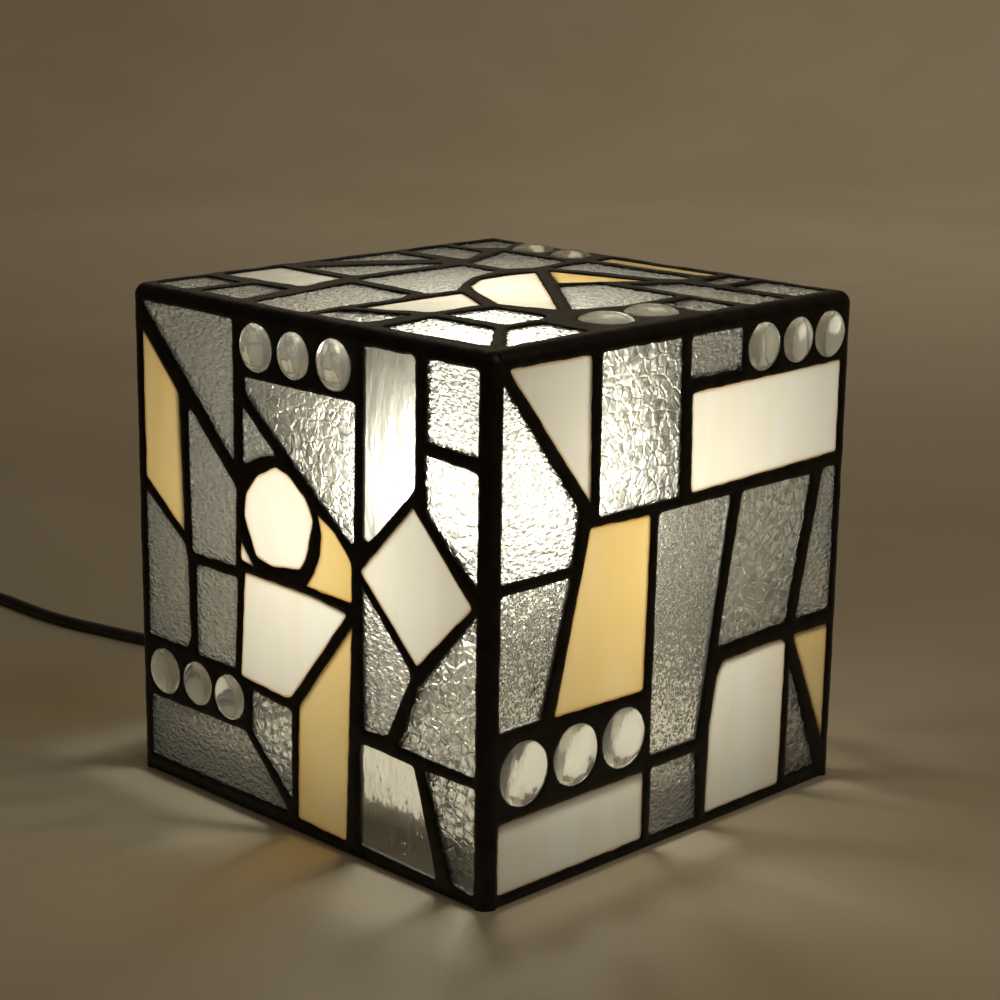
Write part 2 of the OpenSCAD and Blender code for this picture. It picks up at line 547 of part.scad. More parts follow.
module switch_rocker() {
    color([0.12, 0.12, 0.12]) translate(switch_pos + [0, 0, pivot_z]) rotate([0, rocker_tilt, 0])
    rotate([90, 0, 0]) {
        translate([0, 0, -4]) linear_extrude(8)
            polygon([[-9, -0.5], [-3, -2], [3, -2], [9, -0.5], [9, 3.4], [0, 2.4], [-9, 3.4]]);
        translate([0, 0, -6]) cylinder(d = 2.4, h = 12);
    }
}

// ---- plug ----
module plug_body() {
    color(BLACK) translate(plug_pos) difference() {
        union() {
            rotate([0, 90, 0]) cylinder(r1 = cord_r + 0.6, r2 = 5, h = tail_l);
            translate([tail_l, 0, -plug_t / 2]) linear_extrude(plug_t)
                polygon([[0, -6], [6, -8], [24, -plug_w / 2], [plug_l, -plug_w / 2],
                         [plug_l, plug_w / 2], [24, plug_w / 2], [6, 8], [0, 6]]);
        }
        for (k = [0:2]) translate([5 + 6 * k, 0, 0]) rotate([0, 90, 0]) ring(8, 3 + 0.5 * k, 1.4);
    }
}
module plug_pins() {
    color(STEEL) translate(plug_pos + [tail_l + plug_l, 0, 0]) for (y = [-1, 1]) translate([0, y * pin_gap / 2, 0]) {
        rotate([0, 90, 0]) cylinder(d = pin_d, h = pin_l - pin_d / 2);
        translate([pin_l - pin_d / 2, 0, 0]) sphere(d = pin_d);
    }
}

rim_front_back();
rim_sides();
corner_seams();
top_edge_seams();
front_seams();
right_seams();
back_seams();
left_seams();
top_seams();
front_hammered();
front_crackle();
front_seedy();
front_opal();
front_champagne();
right_hammered();
right_crackle();
right_glitter();
right_opal();
right_champagne();
back_clear();
back_opal();
back_champagne();
left_clear();
left_opal();
left_champagne();
top_clear();
top_crackle();
top_opal();
top_champagne();
glass_nuggets();
base_board();
rubber_feet();
threaded_nipple();
nipple_nuts();
holder_cap();
holder_sleeve();
holder_insert();
thread_shell();
holder_contact();
cord_clamp();
clamp_screws();
inner_lead();
core_wires();
bulb_globe();
bulb_collar();
bulb_led_board();
bulb_cap();
bulb_insulator();
bulb_contact();
strain_relief();
cord_run();
cord_lead();
cord_coil();
cord_tail();
coil_tie();
switch_base();
switch_cover();
switch_rocker();
plug_body();
plug_pins();
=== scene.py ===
"""Looks of the art-glass cube lamp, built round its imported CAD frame. Lengths are in metres."""

import json
import math
import random

import bmesh
import bpy
import numpy as np
from mathutils import Matrix, Vector, kdtree, noise
from mathutils.geometry import delaunay_2d_cdt


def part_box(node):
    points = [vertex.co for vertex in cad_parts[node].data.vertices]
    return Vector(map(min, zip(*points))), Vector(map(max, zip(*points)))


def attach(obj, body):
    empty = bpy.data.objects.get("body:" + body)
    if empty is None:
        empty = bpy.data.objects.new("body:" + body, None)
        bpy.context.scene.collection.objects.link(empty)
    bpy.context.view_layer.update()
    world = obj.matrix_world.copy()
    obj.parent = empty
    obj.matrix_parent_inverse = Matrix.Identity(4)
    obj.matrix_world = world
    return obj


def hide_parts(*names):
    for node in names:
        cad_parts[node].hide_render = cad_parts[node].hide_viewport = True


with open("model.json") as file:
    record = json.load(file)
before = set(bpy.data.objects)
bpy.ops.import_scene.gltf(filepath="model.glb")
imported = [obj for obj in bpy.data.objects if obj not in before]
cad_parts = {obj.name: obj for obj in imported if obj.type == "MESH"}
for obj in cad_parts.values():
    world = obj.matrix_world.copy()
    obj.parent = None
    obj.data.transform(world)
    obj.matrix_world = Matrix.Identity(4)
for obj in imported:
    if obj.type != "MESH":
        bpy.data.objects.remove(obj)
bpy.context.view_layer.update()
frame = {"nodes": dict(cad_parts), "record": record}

MM = 0.001
BODY_OF = {n: b for b, names in frame["record"]["behaviour"]["bodies"].items() for n in names}
SLOT_OF = {s["node"]: s["material_slot"] for s in frame["record"]["subparts"]}

# The cube, from the frame
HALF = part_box("rim_front_back")[1].x
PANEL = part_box("front_seams")[1].x
SEAM_T = HALF - PANEL
RIM_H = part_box("front_seams")[0].z
SILL_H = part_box("left_seams")[0].z
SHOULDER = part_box("front_seams")[1].z
GLASS_IN = -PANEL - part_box("front_opal")[1].y
GLASS_OUT = -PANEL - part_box("front_opal")[0].y
# How far the solder laps over the rim of a pane
LAP = 1.0 * MM
GLOBE_LO, GLOBE_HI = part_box("bulb_globe")
GLOBE_R = (GLOBE_HI.x - GLOBE_LO.x) / 2
GLOBE_C = Vector((0, 0, GLOBE_HI.z - GLOBE_R))


# ---- camera ----
def make_camera():
    """The photograph's view: 45 degrees round, 15 up, aimed a little above and right of the cube's middle."""
    azimuth = math.radians(45.01)
    elevation = math.radians(15.29)
    distance = 0.8215
    back = Vector((math.sin(azimuth) * math.cos(elevation),
                   -math.cos(azimuth) * math.cos(elevation),
                   math.sin(elevation)))
    data = bpy.data.cameras.new("camera")
    data.sensor_width = 36.0
    data.lens = 82.08
    data.clip_start = 0.01
    data.clip_end = 50.0
    camera = bpy.data.objects.new("camera", data)
    bpy.context.scene.collection.objects.link(camera)
    aim = (-back).to_track_quat("-Z", "Y").to_matrix()
    up = Matrix.Rotation(math.radians(0.85), 3, "X")
    right = Matrix.Rotation(math.radians(-0.247), 3, "Y")
    roll = Matrix.Rotation(math.radians(0.726), 3, "Z")
    camera.matrix_world = (Matrix.Translation(Vector((0, 0, HALF)) + back * distance)
                           @ (aim @ up @ right @ roll).to_4x4())
    bpy.context.scene.camera = camera


make_camera()


# ---- node material helpers ----
class Nodes:
    """A material's node tree, with short calls for the nodes used here."""

    def __init__(self, name):
        self.material = bpy.data.materials.new(name)
        self.material.use_nodes = True
        self.tree = self.material.node_tree
        self.tree.nodes.clear()
        self.out = self.tree.nodes.new("ShaderNodeOutputMaterial")

    def add(self, kind, **inputs):
        node = self.tree.nodes.new(kind)
        for name, value in inputs.items():
            self.set(node.inputs[name.replace("_", " ")], value)
        return node

    def set(self, socket, value):
        if isinstance(value, bpy.types.NodeSocket):
            self.tree.links.new(value, socket)
        elif isinstance(value, tuple) and len(value) == 3 and socket.type == "RGBA":
            socket.default_value = (*value, 1)
        else:
            socket.default_value = value

    def coords(self, scale=1.0, stretch=(1, 1, 1), turn=(0, 0, 0)):
        """Object coordinates in units of 1/scale metres."""
        where = self.add("ShaderNodeTexCoord").outputs["Object"]
        mapping = self.add("ShaderNodeMapping", Vector=where, Scale=[scale * s for s in stretch],
                           Rotation=[math.radians(t) for t in turn])
        return mapping.outputs["Vector"]

    def noise(self, vector, detail=3.0, roughness=0.5, distortion=0.0, w=None):
        node = self.add("ShaderNodeTexNoise", Vector=vector, Scale=1.0, Detail=detail, Roughness=roughness,
                        Distortion=distortion)
        if w is not None:
            node.noise_dimensions = "4D"
            self.set(node.inputs["W"], w)
        return node.outputs["Fac"]

    def voronoi(self, vector, feature):
        node = self.add("ShaderNodeTexVoronoi", Vector=vector, Scale=1.0)
        node.feature = feature
        return node.outputs["Distance"]

    def math(self, operation, a, b=0.0, c=0.0):
        node = self.tree.nodes.new("ShaderNodeMath")
        node.operation = operation
        for socket, value in zip(node.inputs, (a, b, c)):
            self.set(socket, value)
        return node.outputs[0]

    def ramp(self, value, low, high, to_low=0.0, to_high=1.0):
        node = self.add("ShaderNodeMapRange", Value=value, From_Min=low, From_Max=high, To_Min=to_low,
                        To_Max=to_high)
        node.interpolation_type = "SMOOTHSTEP"
        return node.outputs["Result"]

    def blend(self, factor, a, b):
        node = self.tree.nodes.new("ShaderNodeMix")
        node.data_type = "RGBA"
        self.set(node.inputs["Factor"], factor)
        self.set(node.inputs[6], a)
        self.set(node.inputs[7], b)
        return node.outputs[2]

    def bump(self, height, distance, strength=1.0, normal=None):
        node = self.add("ShaderNodeBump", Height=height, Distance=distance, Strength=strength)
        if normal is not None:
            self.set(node.inputs["Normal"], normal)
        return node.outputs["Normal"]

    def mix(self, factor, a, b):
        node = self.tree.nodes.new("ShaderNodeMixShader")
        self.set(node.inputs[0], factor)
        self.set(node.inputs[1], a)
        self.set(node.inputs[2], b)
        return node.outputs[0]

    def lets_light(self, shader, colour, see_through=True):
        """The shader to the eye, and clear to the bulb's light and, if see_through, to the room's."""
        path = self.add("ShaderNodeLightPath")
        clear = self.add("ShaderNodeBsdfTransparent", Color=colour).outputs[0]
        if see_through:
            shader = self.mix(path.outputs["Is Diffuse Ray"], shader, clear)
        return self.mix(path.outputs["Is Shadow Ray"], shader, clear)

    def principled(self, **inputs):
        return self.add("ShaderNodeBsdfPrincipled", **inputs).outputs[0]

    def finish(self, surface):
        self.tree.links.new(surface, self.out.inputs["Surface"])
        return self.material


def solder_material():
    n = Nodes("patina_solder")
    fine = n.noise(n.coords(900), 4.0, 0.6)
    broad = n.noise(n.coords(120), 2.0)
    colour = n.blend(n.ramp(broad, 0.35, 0.7), (0.006, 0.0055, 0.005), (0.016, 0.014, 0.012))
    colour = n.blend(n.ramp(fine, 0.62, 0.75), colour, (0.045, 0.04, 0.035))
    rough = n.ramp(fine, 0.3, 0.7, 0.32, 0.55)
    relief = n.bump(fine, 0.12 * MM, 0.5, n.bump(broad, 0.6 * MM, 0.5))
    return n.finish(n.principled(Base_Color=colour, Metallic=0.4, Roughness=rough, Normal=relief,
                                 Specular_IOR_Level=0.4))


GLASS_TINT = (0.975, 0.967, 0.91)
GLASS_IOR = 1.5


def clear_glass(name, height, distance, haze, soft, soft_rough=0.4):
    """Clear sheet glass with a fine relief. Part of it, soft, spreads the bulb's light as its texture does,
    and a little, haze, catches it."""
    n = Nodes(name)
    relief = n.bump(height(n), distance)
    sharp, spread = [
        n.add("ShaderNodeBsdfGlass", Color=GLASS_TINT, Roughness=rough, IOR=GLASS_IOR, Normal=relief)
        for rough in (0.03, soft_rough)]
    caught = n.add("ShaderNodeBsdfTranslucent", Color=(0.95, 0.95, 0.9), Normal=relief)
    body = n.mix(soft, sharp.outputs[0], spread.outputs[0])
    body = n.mix(haze, body, caught.outputs[0])
    return n.finish(n.lets_light(body, (0.86, 0.87, 0.84)))


def tilted_cells(n, scale):
    """Height of cells of which each leans its own way."""
    where = n.coords(scale)
    cells = n.add("ShaderNodeTexVoronoi", Vector=where, Scale=1.0)
    parts = []
    for a, b in ((where, cells.outputs["Position"]), (cells.outputs["Color"], (0.5, 0.5, 0.5))):
        take = n.tree.nodes.new("ShaderNodeVectorMath")
        take.operation = "SUBTRACT"
        n.set(take.inputs[0], a)
        n.set(take.inputs[1], b)
        parts.append(take.outputs["Vector"])
    lean = n.tree.nodes.new("ShaderNodeVectorMath")
    lean.operation = "DOT_PRODUCT"
    n.set(lean.inputs[0], parts[0])
    n.set(lean.inputs[1], parts[1])
    return lean.outputs["Value"]


def hammered_height(n):
    dents = n.voronoi(n.coords(560, (1, 1, 1.5)), "SMOOTH_F1")
    return n.math("ADD", dents, n.math("MULTIPLY", n.noise(n.coords(900, (0.7, 0.7, 1.4)), 1.0), 0.6))


def crackle_height(n):
    ridge = n.ramp(n.voronoi(n.coords(240), "DISTANCE_TO_EDGE"), 0.0, 0.15, 0.20, 0.0)
    small = n.math("MULTIPLY", tilted_cells(n, 520), 0.22)
    return n.math("ADD", n.math("MULTIPLY", tilted_cells(n, 240), 0.8), n.math("ADD", ridge, small))


def seedy_height(n):
    return n.noise(n.coords(130, (1, 1, 0.35)), 3.0)


def glitter_height(n):
    return n.math("ADD", tilted_cells(n, 1250), n.math("MULTIPLY", n.noise(n.coords(500), 1.0), 0.8))


def opal_glass(name, base, streak, rim, passes):
    """Opal glass: milky, streaked, and glowing with the light behind it."""
    n = Nodes(name)
    island = n.add("ShaderNodeNewGeometry").outputs["Random Per Island"]
    shift = n.math("MULTIPLY", island, 40.0)
    drift = n.noise(n.coords(38, (1, 1, 0.22), (14, -9, 0)), 3.0, 0.55, 1.2, shift)
    wisp = n.noise(n.coords(150, (1, 1, 0.18), (10, -6, 0)), 4.0, 0.6, 1.6, shift)
    colour = n.blend(n.ramp(drift, 0.38, 0.68), base, streak)
    colour = n.blend(n.ramp(wisp, 0.5, 0.78, 0.0, 0.5), colour, streak)
    edge = n.add("ShaderNodeAttribute")
    edge.attribute_name = "rim_distance"
    near = n.ramp(edge.outputs["Fac"], 1.0 * MM, 2.1 * MM, 1.0, 0.0)
    colour = n.blend(near, colour, rim)
    relief = n.bump(n.noise(n.coords(45), 2.0), 0.8 * MM, 0.4)
    glow = n.add("ShaderNodeBsdfTranslucent", Color=colour).outputs[0]
    face = n.principled(Base_Color=colour, Roughness=0.12, Normal=relief)
    body = n.mix(0.78, face, glow)
    gloss = n.add("ShaderNodeBsdfGlossy", Color=(1.0, 1.0, 1.0), Roughness=0.05, Normal=relief).outputs[0]
    shine = n.add("ShaderNodeFresnel", IOR=1.45, Normal=relief).outputs[0]
    body = n.mix(shine, body, gloss)
    return n.finish(n.lets_light(body, passes, False))


def plain(name, colour, worn, rough, grain, depth, coat=0.0, scale=900.0):
    """A moulded or painted surface: two colours by a soft noise, and a fine grain, depth mm deep."""
    n = Nodes(name)
    broad = n.noise(n.coords(scale * 0.08), 3.0)
    fine = n.noise(n.coords(scale), 3.0, 0.6)
    tone = n.blend(n.ramp(broad, 0.35, 0.68), colour, worn)
    roughness = n.ramp(fine, 0.3, 0.7, max(rough - grain, 0.02), rough + grain)
    relief = n.bump(fine, depth * MM)
    return n.finish(n.principled(Base_Color=tone, Roughness=roughness, Normal=relief, Coat_Weight=coat,
                                 Coat_Roughness=0.08))


def brushed(name, colour, worn):
    """Metal with fine marks round the vertical axis."""
    n = Nodes(name)
    marks = n.noise(n.coords(60, (1, 1, 60)), 2.0, 0.7)
    spots = n.noise(n.coords(160), 3.0)
    tone = n.blend(n.ramp(spots, 0.45, 0.75), colour, worn)
    rough = n.ramp(marks, 0.3, 0.7, 0.18, 0.36)
    return n.finish(n.principled(Base_Color=tone, Metallic=1.0, Roughness=rough,
                                 Normal=n.bump(marks, 0.03 * MM)))


def lit_bulb():
    """Frosted glass with the light inside: brightest in the middle, a little less at its rim."""
    n = Nodes("frosted_bulb")
    facing = n.add("ShaderNodeLayerWeight", Blend=0.35).outputs["Facing"]
    cloud = n.noise(n.coords(90), 2.0)
    strength = n.math("MULTIPLY", n.ramp(facing, 0.0, 1.0, 20.0, 10.0), n.ramp(cloud, 0.2, 0.8, 0.94, 1.06))
    glow = n.add("ShaderNodeEmission", Color=(1.0, 0.94, 0.82), Strength=strength).outputs[0]
    path = n.add("ShaderNodeLightPath")
    clear = n.add("ShaderNodeBsdfTransparent", Color=(1.0, 1.0, 1.0)).outputs[0]
    to_room = n.mix(path.outputs["Is Diffuse Ray"], glow, clear)
    n.material.cycles.emission_sampling = "NONE"
    return n.finish(n.mix(path.outputs["Is Shadow Ray"], to_room, clear))


def jacket(name):
    """The matt black sheath of a cord."""
    n = Nodes(name)
    fine = n.noise(n.coords(1400), 2.0)
    cloud = n.noise(n.coords(60), 2.0)
    tone = n.blend(n.ramp(cloud, 0.4, 0.7), (0.010, 0.010, 0.010), (0.022, 0.021, 0.02))
    return n.finish(n.principled(Base_Color=tone, Roughness=n.ramp(fine, 0.3, 0.7, 0.36, 0.5),
                                 Normal=n.bump(fine, 0.04 * MM)))


def looks(make, table):
    """A material of one kind for each row of a table."""
    return {name: make(name, *values) for name, values in table.items()}


MATERIALS = {
    "patina_solder": solder_material(),
    "frosted_bulb": lit_bulb(),
    "cord_jacket": jacket("cord_jacket"),
    **looks(clear_glass, {
        "hammered_glass": (hammered_height, 1.9 * MM, 0.06, 0.32),
        "crackle_glass": (crackle_height, 2.4 * MM, 0.03, 0.42),
        "seedy_glass": (seedy_height, 1.2 * MM, 0.03, 0.33, 0.35),
        "glitter_glass": (glitter_height, 0.42 * MM, 0.04, 0.08),
        "nugget_glass": (seedy_height, 0.5 * MM, 0.06, 0.28, 0.24)}),
    **looks(opal_glass, {
        "opal_glass": ((0.94, 0.93, 0.87), (0.92, 0.88, 0.77), (0.74, 0.52, 0.30), (0.62, 0.60, 0.54)),
        "champagne_glass": ((0.88, 0.76, 0.47), (0.91, 0.83, 0.61), (0.66, 0.44, 0.18),
                            (0.56, 0.44, 0.24))}),
    **looks(brushed, {
        "brass": ((0.66, 0.47, 0.20), (0.45, 0.31, 0.13)),
        "steel": ((0.56, 0.56, 0.56), (0.42, 0.42, 0.41)),
        "nickel": ((0.66, 0.63, 0.57), (0.5, 0.47, 0.42))}),
    **looks(plain, {
        "painted_board": ((0.86, 0.84, 0.78), (0.80, 0.78, 0.71), 0.45, 0.08, 0.1, 0.0, 500.0),
        "foot_rubber": ((0.02, 0.02, 0.02), (0.035, 0.034, 0.033), 0.7, 0.1, 0.05),
        "holder_plastic": ((0.012, 0.012, 0.012), (0.02, 0.02, 0.019), 0.22, 0.05, 0.03, 0.3),
        "holder_ceramic": ((0.80, 0.79, 0.74), (0.74, 0.72, 0.66), 0.16, 0.05, 0.03, 0.5),
        "clamp_plastic": ((0.03, 0.03, 0.03), (0.05, 0.05, 0.05), 0.5, 0.08, 0.05),
        "core_insulation": ((0.16, 0.07, 0.03), (0.22, 0.10, 0.05), 0.3, 0.05, 0.02),
        "bulb_plastic": ((0.82, 0.82, 0.80), (0.78, 0.77, 0.74), 0.32, 0.05, 0.03),
        "aluminium_board": ((0.80, 0.80, 0.78), (0.72, 0.72, 0.70), 0.4, 0.08, 0.03),
        "black_glass": ((0.01, 0.01, 0.012), (0.02, 0.02, 0.022), 0.08, 0.03, 0.02, 0.8),
        "cord_rubber": ((0.016, 0.016, 0.016), (0.028, 0.028, 0.027), 0.55, 0.08, 0.05),
        "tie_plastic": ((0.03, 0.03, 0.03), (0.045, 0.045, 0.045), 0.5, 0.06, 0.04),
        "switch_plastic": ((0.016, 0.016, 0.016), (0.026, 0.026, 0.026), 0.4, 0.08, 0.06),
        "rocker_plastic": ((0.02, 0.02, 0.02), (0.03, 0.03, 0.03), 0.16, 0.04, 0.02, 0.4),
        "plug_rubber": ((0.018, 0.018, 0.018), (0.03, 0.03, 0.03), 0.5, 0.08, 0.06)}),
}


def dress(piece, slot):
    piece.data.materials.clear()
    piece.data.materials.append(MATERIALS[slot])


def stand_for(piece, *nodes):
    """The piece takes the place, the body and the finish of these CAD nodes."""
    dress(piece, SLOT_OF[nodes[0]])
    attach(piece, BODY_OF[nodes[0]])
    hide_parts(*nodes)


def mesh_object(name, verts, faces, crease=50.0, turn_out=False):
    """A mesh piece with smooth faces, sharp where it turns by more than crease degrees.
    turn_out joins points in one place and turns the faces of closed parts outwards."""
    mesh = bpy.data.meshes.new(name)
    mesh.from_pydata([tuple(v) for v in verts], [], faces)
    mesh.validate()
    if turn_out:
        bm = bmesh.new()
        bm.from_mesh(mesh)
        bmesh.ops.remove_doubles(bm, verts=bm.verts, dist=0.001 * MM)
        bmesh.ops.recalc_face_normals(bm, faces=bm.faces)
        bm.to_mesh(mesh)
        bm.free()
    mesh.update()
    mesh.shade_smooth()
    mesh.set_sharp_from_angle(angle=math.radians(crease))
    piece = bpy.data.objects.new(name, mesh)
    bpy.context.scene.collection.objects.link(piece)
    return piece


def join(parts):
    """Several (verts, faces) pairs as one."""
    verts = []
    faces = []
    for more_verts, more_faces in parts:
        start = len(verts)
        verts.extend(more_verts)
        faces.extend([tuple(i + start for i in f) for f in more_faces])
    return verts, faces


# ---- cord ----
# Its route, in millimetres, repeats the one that the CAD solids follow.
CORD_D = 5.0 * MM
RUN = [(-125, 0, 4), (-138, 0, 3.6), (-151, 0, 3), (-164, 0, 2.6), (-177, -1, 2.5), (-190, -2, 2.5),
       (-202, -4, 2.5), (-214, -7, 2.5), (-227, -10, 2.5), (-240, -13, 2.5), (-253, -15, 2.5),
       (-266, -16, 2.5), (-279, -16, 2.5), (-292, -16, 2.5), (-305, -17, 2.5), (-317, -19, 2.5),
       (-328, -20, 2.8), (-339, -20, 4.6), (-350, -20, 6)]
THROUGH_SWITCH = [(-370, -20, 6), (-390, -20, 6)]
LEAD = [(-410, -20, 6), (-420, -21, 5.2), (-429, -25, 4.2), (-436, -33, 3.5), (-440, -44, 3.5),
        (-441, -56, 3.5), (-441, -69, 3.5)]
TAIL = [(-401, -113, 18.5), (-394, -113, 18), (-384, -113, 15.4), (-373, -113, 11.8),
        (-362, -113, 8.8), (-351, -113, 7.2), (-340, -113, 6.85)]
COIL_C = (-408.5, -80)
COIL_TURNS = 8.25
COIL_IN = 22.5
COIL_Z = 3.5
PITCH = 5.0
CORD_SIDES = 14


def smoothstep(x, low, high):
    t = np.clip((x - low) / (high - low), 0, 1)
    return t * t * (3 - 2 * t)


def coil_points():
    """Turns of the coil: in and out across two turns a layer, each layer on the one below."""
    points = []
    for t in np.arange(0, COIL_TURNS, 0.02):
        angle = math.pi + 2 * math.pi * t
        radius = COIL_IN + PITCH * abs(2 - t % 4)
        if t > 8:
            radius = COIL_IN + 2 * PITCH + 0.5 * float(smoothstep(t, 8, COIL_TURNS))
        z = COIL_Z + PITCH * sum(float(smoothstep(t, k - 0.15, k + 0.15)) for k in (2, 4, 6))
        points.append((COIL_C[0] + radius * math.cos(angle), COIL_C[1] + radius * math.sin(angle), z))
    return points


def through(points, steps):
    """A smooth curve through the points, with steps pieces between each two."""
    p = [np.array(q, float) for q in points]
    p = [2 * p[0] - p[1], *p, 2 * p[-1] - p[-2]]
    out = []
    for i in range(1, len(p) - 2):
        for k in range(steps):
            t = k / steps
            out.append(0.5 * (2 * p[i] + (p[i + 1] - p[i - 1]) * t
                              + (2 * p[i - 1] - 5 * p[i] + 4 * p[i + 1] - p[i + 2]) * t * t
                              + (3 * p[i] - p[i - 1] - 3 * p[i + 1] + p[i + 2]) * t ** 3))
    out.append(p[-2])
    return out


def cord_line():
    """The whole route of the cord, in metres: to the switch and through it, the coil, and to the plug."""
    to_coil = through(RUN + THROUGH_SWITCH + LEAD, 4)
    coil = [np.array(q) for q in coil_points()][1:]
    return [q * MM for q in to_coil + coil + through(TAIL, 4)]


def tube(line, radius, sides):
    """A closed tube along a line, its section turned as little as possible from ring to ring."""
    verts = []
    faces = []
    along = [np.array(line[min(i + 1, len(line) - 1)]) - line[max(i - 1, 0)] for i in range(len(line))]
    along = [a / np.linalg.norm(a) for a in along]
    side = np.cross(along[0], (0, 0, 1))
    for i, point in enumerate(line):
        side = side - along[i] * (side @ along[i])
        side = side / np.linalg.norm(side)
        up = np.cross(side, along[i])
        for k in range(sides):
            a = 2 * math.pi * k / sides
            verts.append(tuple(point + radius * (math.cos(a) * side + math.sin(a) * up)))
    for i in range(len(line) - 1):
        for k in range(sides):
            j = (k + 1) % sides
            faces.append((i * sides + k, (i + 1) * sides + k, (i + 1) * sides + j, i * sides + j))
    faces.append(tuple(range(sides)))
    faces.append(tuple(reversed(range((len(line) - 1) * sides, len(line) * sides))))
    return verts, faces


def make_cord():
    line = cord_line()
    piece = mesh_object("mains_cord", *tube(line, CORD_D / 2, CORD_SIDES))
    stand_for(piece, "cord_run", "cord_lead", "cord_coil", "cord_tail")


make_cord()


# ---- flat drawings of the faces ----
def side_frame(turn):
    """From a face's own u, v and height to the lamp: u right, v up, height outwards."""
    flat = Matrix(((1, 0, 0, 0), (0, 0, -1, -PANEL), (0, 1, 0, 0), (0, 0, 0, 1)))
    return Matrix.Rotation(math.radians(90 * turn), 4, "Z") @ flat


FACES = {"front": side_frame(0), "right": side_frame(1), "back": side_frame(2), "left": side_frame(3),
         "top": Matrix.Translation((0, 0, SHOULDER))}


def to_lamp(face, points):
    """Points (u, v, height) of a face as points of the lamp."""
    m = np.array(FACES[face])
    return np.asarray(points) @ m[:3, :3].T + m[:3, 3]


def loose_parts(node):
    """The separate solids of a CAD node, each as a set of merged vertices with its faces."""
    bm = bmesh.new()
    bm.from_mesh(frame["nodes"][node].data)
    bmesh.ops.remove_doubles(bm, verts=bm.verts, dist=0.001 * MM)
    bm.faces.index_update()
    bm.faces.ensure_lookup_table()
    seen = set()
    parts = []
    for start in bm.verts:
        if start in seen:
            continue
        part = [start]
        seen.add(start)
        for v in part:
            for e in v.link_edges:
                other = e.other_vert(v)
                if other not in seen:
                    seen.add(other)
                    part.append(other)
        index = {v: i for i, v in enumerate(part)}
        faces = [bm.faces[i] for i in sorted({f.index for v in part for f in v.link_faces})]
        parts.append((np.array([v.co for v in part]), [[index[v] for v in f.verts] for f in faces]))
    bm.free()
    return parts


def flat_outline(face, part):
    """The outline of a pane's outer side, anticlockwise in u and v."""
    verts, faces = part
    m = np.array(FACES[face].inverted())
    local = verts @ m[:3, :3].T + m[:3, 3]
    top = local[:, 2].max()
    sides = {}
    for f in faces:
        if all(abs(local[i, 2] - top) < 0.01 * MM for i in f):
            for a, b in zip(f, f[1:] + f[:1]):
                sides[a, b] = True
    after = {a: b for a, b in sides if (b, a) not in sides}
    loop = [next(iter(after))]
    while after[loop[-1]] != loop[0]:
        loop.append(after[loop[-1]])
    return straightened(local[loop, :2])


def straightened(p):
    """An outline without the points that lie on a straight stretch."""
    keep = []
    for i in range(len(p)):
        a = p[i] - p[i - 1]
        b = p[(i + 1) % len(p)] - p[i]
        if abs(a[0] * b[1] - a[1] * b[0]) > 1e-4 * np.linalg.norm(a) * np.linalg.norm(b):
            keep.append(p[i])
    return np.array(keep)


def moved_in(p, d):
    """An anticlockwise outline moved inwards by d."""
    out = []
    for i in range(len(p)):
        a = p[i] - p[i - 1]
        b = p[(i + 1) % len(p)] - p[i]
        a = a / np.linalg.norm(a)
        b = b / np.linalg.norm(b)
        na = np.array((-a[1], a[0]))
        nb = np.array((-b[1], b[0]))
        q = p[i] + d * (na + nb) / (1 + na @ nb)
        if not out or np.linalg.norm(q - out[-1]) > 0.12 * MM:
            out.append(q)
    return np.array(out)


def sampled(p, step, softness=0):
    """Points along a closed outline, step apart, its corners rounded a little by softness passes."""
    out = []
    for a, b in zip(p, np.roll(p, -1, axis=0)):
        count = max(1, round(float(np.linalg.norm(b - a)) / step))
        out.extend(a + (b - a) * k / count for k in range(count))
    out = np.array(out)
    for _ in range(softness):
        out = 0.5 * out + 0.25 * (np.roll(out, 1, axis=0) + np.roll(out, -1, axis=0))
    return out


def outward(p):
    """The normals of an anticlockwise outline, away from what it holds."""
    t = np.roll(p, -1, axis=0) - np.roll(p, 1, axis=0)
    t /= np.linalg.norm(t, axis=1)[:, None] + 1e-12
    return np.stack((t[:, 1], -t[:, 0]), axis=1)


def wave(points, size, seed):
    """Smooth noise, about -1 to 1, at points in the lamp, with bumps about size apart."""
    k = 1 / size
    return np.array([noise.noise(Vector((p[0] * k + seed, p[1] * k - seed, p[2] * k + 0.37)))
                     for p in points])


def tree_of(points):
    tree = kdtree.KDTree(len(points))
    for i, p in enumerate(points):
        tree.insert((p[0], p[1], 0.0), i)
    tree.balance()
    return tree


def distances(tree, points):
    return np.array([tree.find((p[0], p[1], 0.0))[2] for p in points])


def hex_grid(low, high, step, seed):
    """Points about step apart that fill a box, in staggered rows, slightly shaken."""
    rows = []
    rise = step * math.sqrt(3) / 2
    for j, v in enumerate(np.arange(low[1], high[1], rise)):
        u = np.arange(low[0] + (j % 2) * step / 2, high[0], step)
        rows.append(np.stack((u, np.full(len(u), v)), axis=1))
    grid = np.concatenate(rows)
    shake = np.random.default_rng(seed).uniform(-0.18, 0.18, grid.shape)
    return grid + shake * step


def within(outline, points):
    """Which of the points lie in an outline."""
    low = outline.min(0)
    high = outline.max(0)
    near = np.flatnonzero(((points > low) & (points < high)).all(axis=1))
    u, v = points[near].T
    odd = np.zeros(len(near), bool)
    for a, b in zip(outline, np.roll(outline, -1, axis=0)):
        if a[1] != b[1]:
            odd ^= ((a[1] > v) != (b[1] > v)) & (u < a[0] + (b[0] - a[0]) * (v - a[1]) / (b[1] - a[1]))
    found = np.zeros(len(points), bool)
    found[near] = odd
    return found


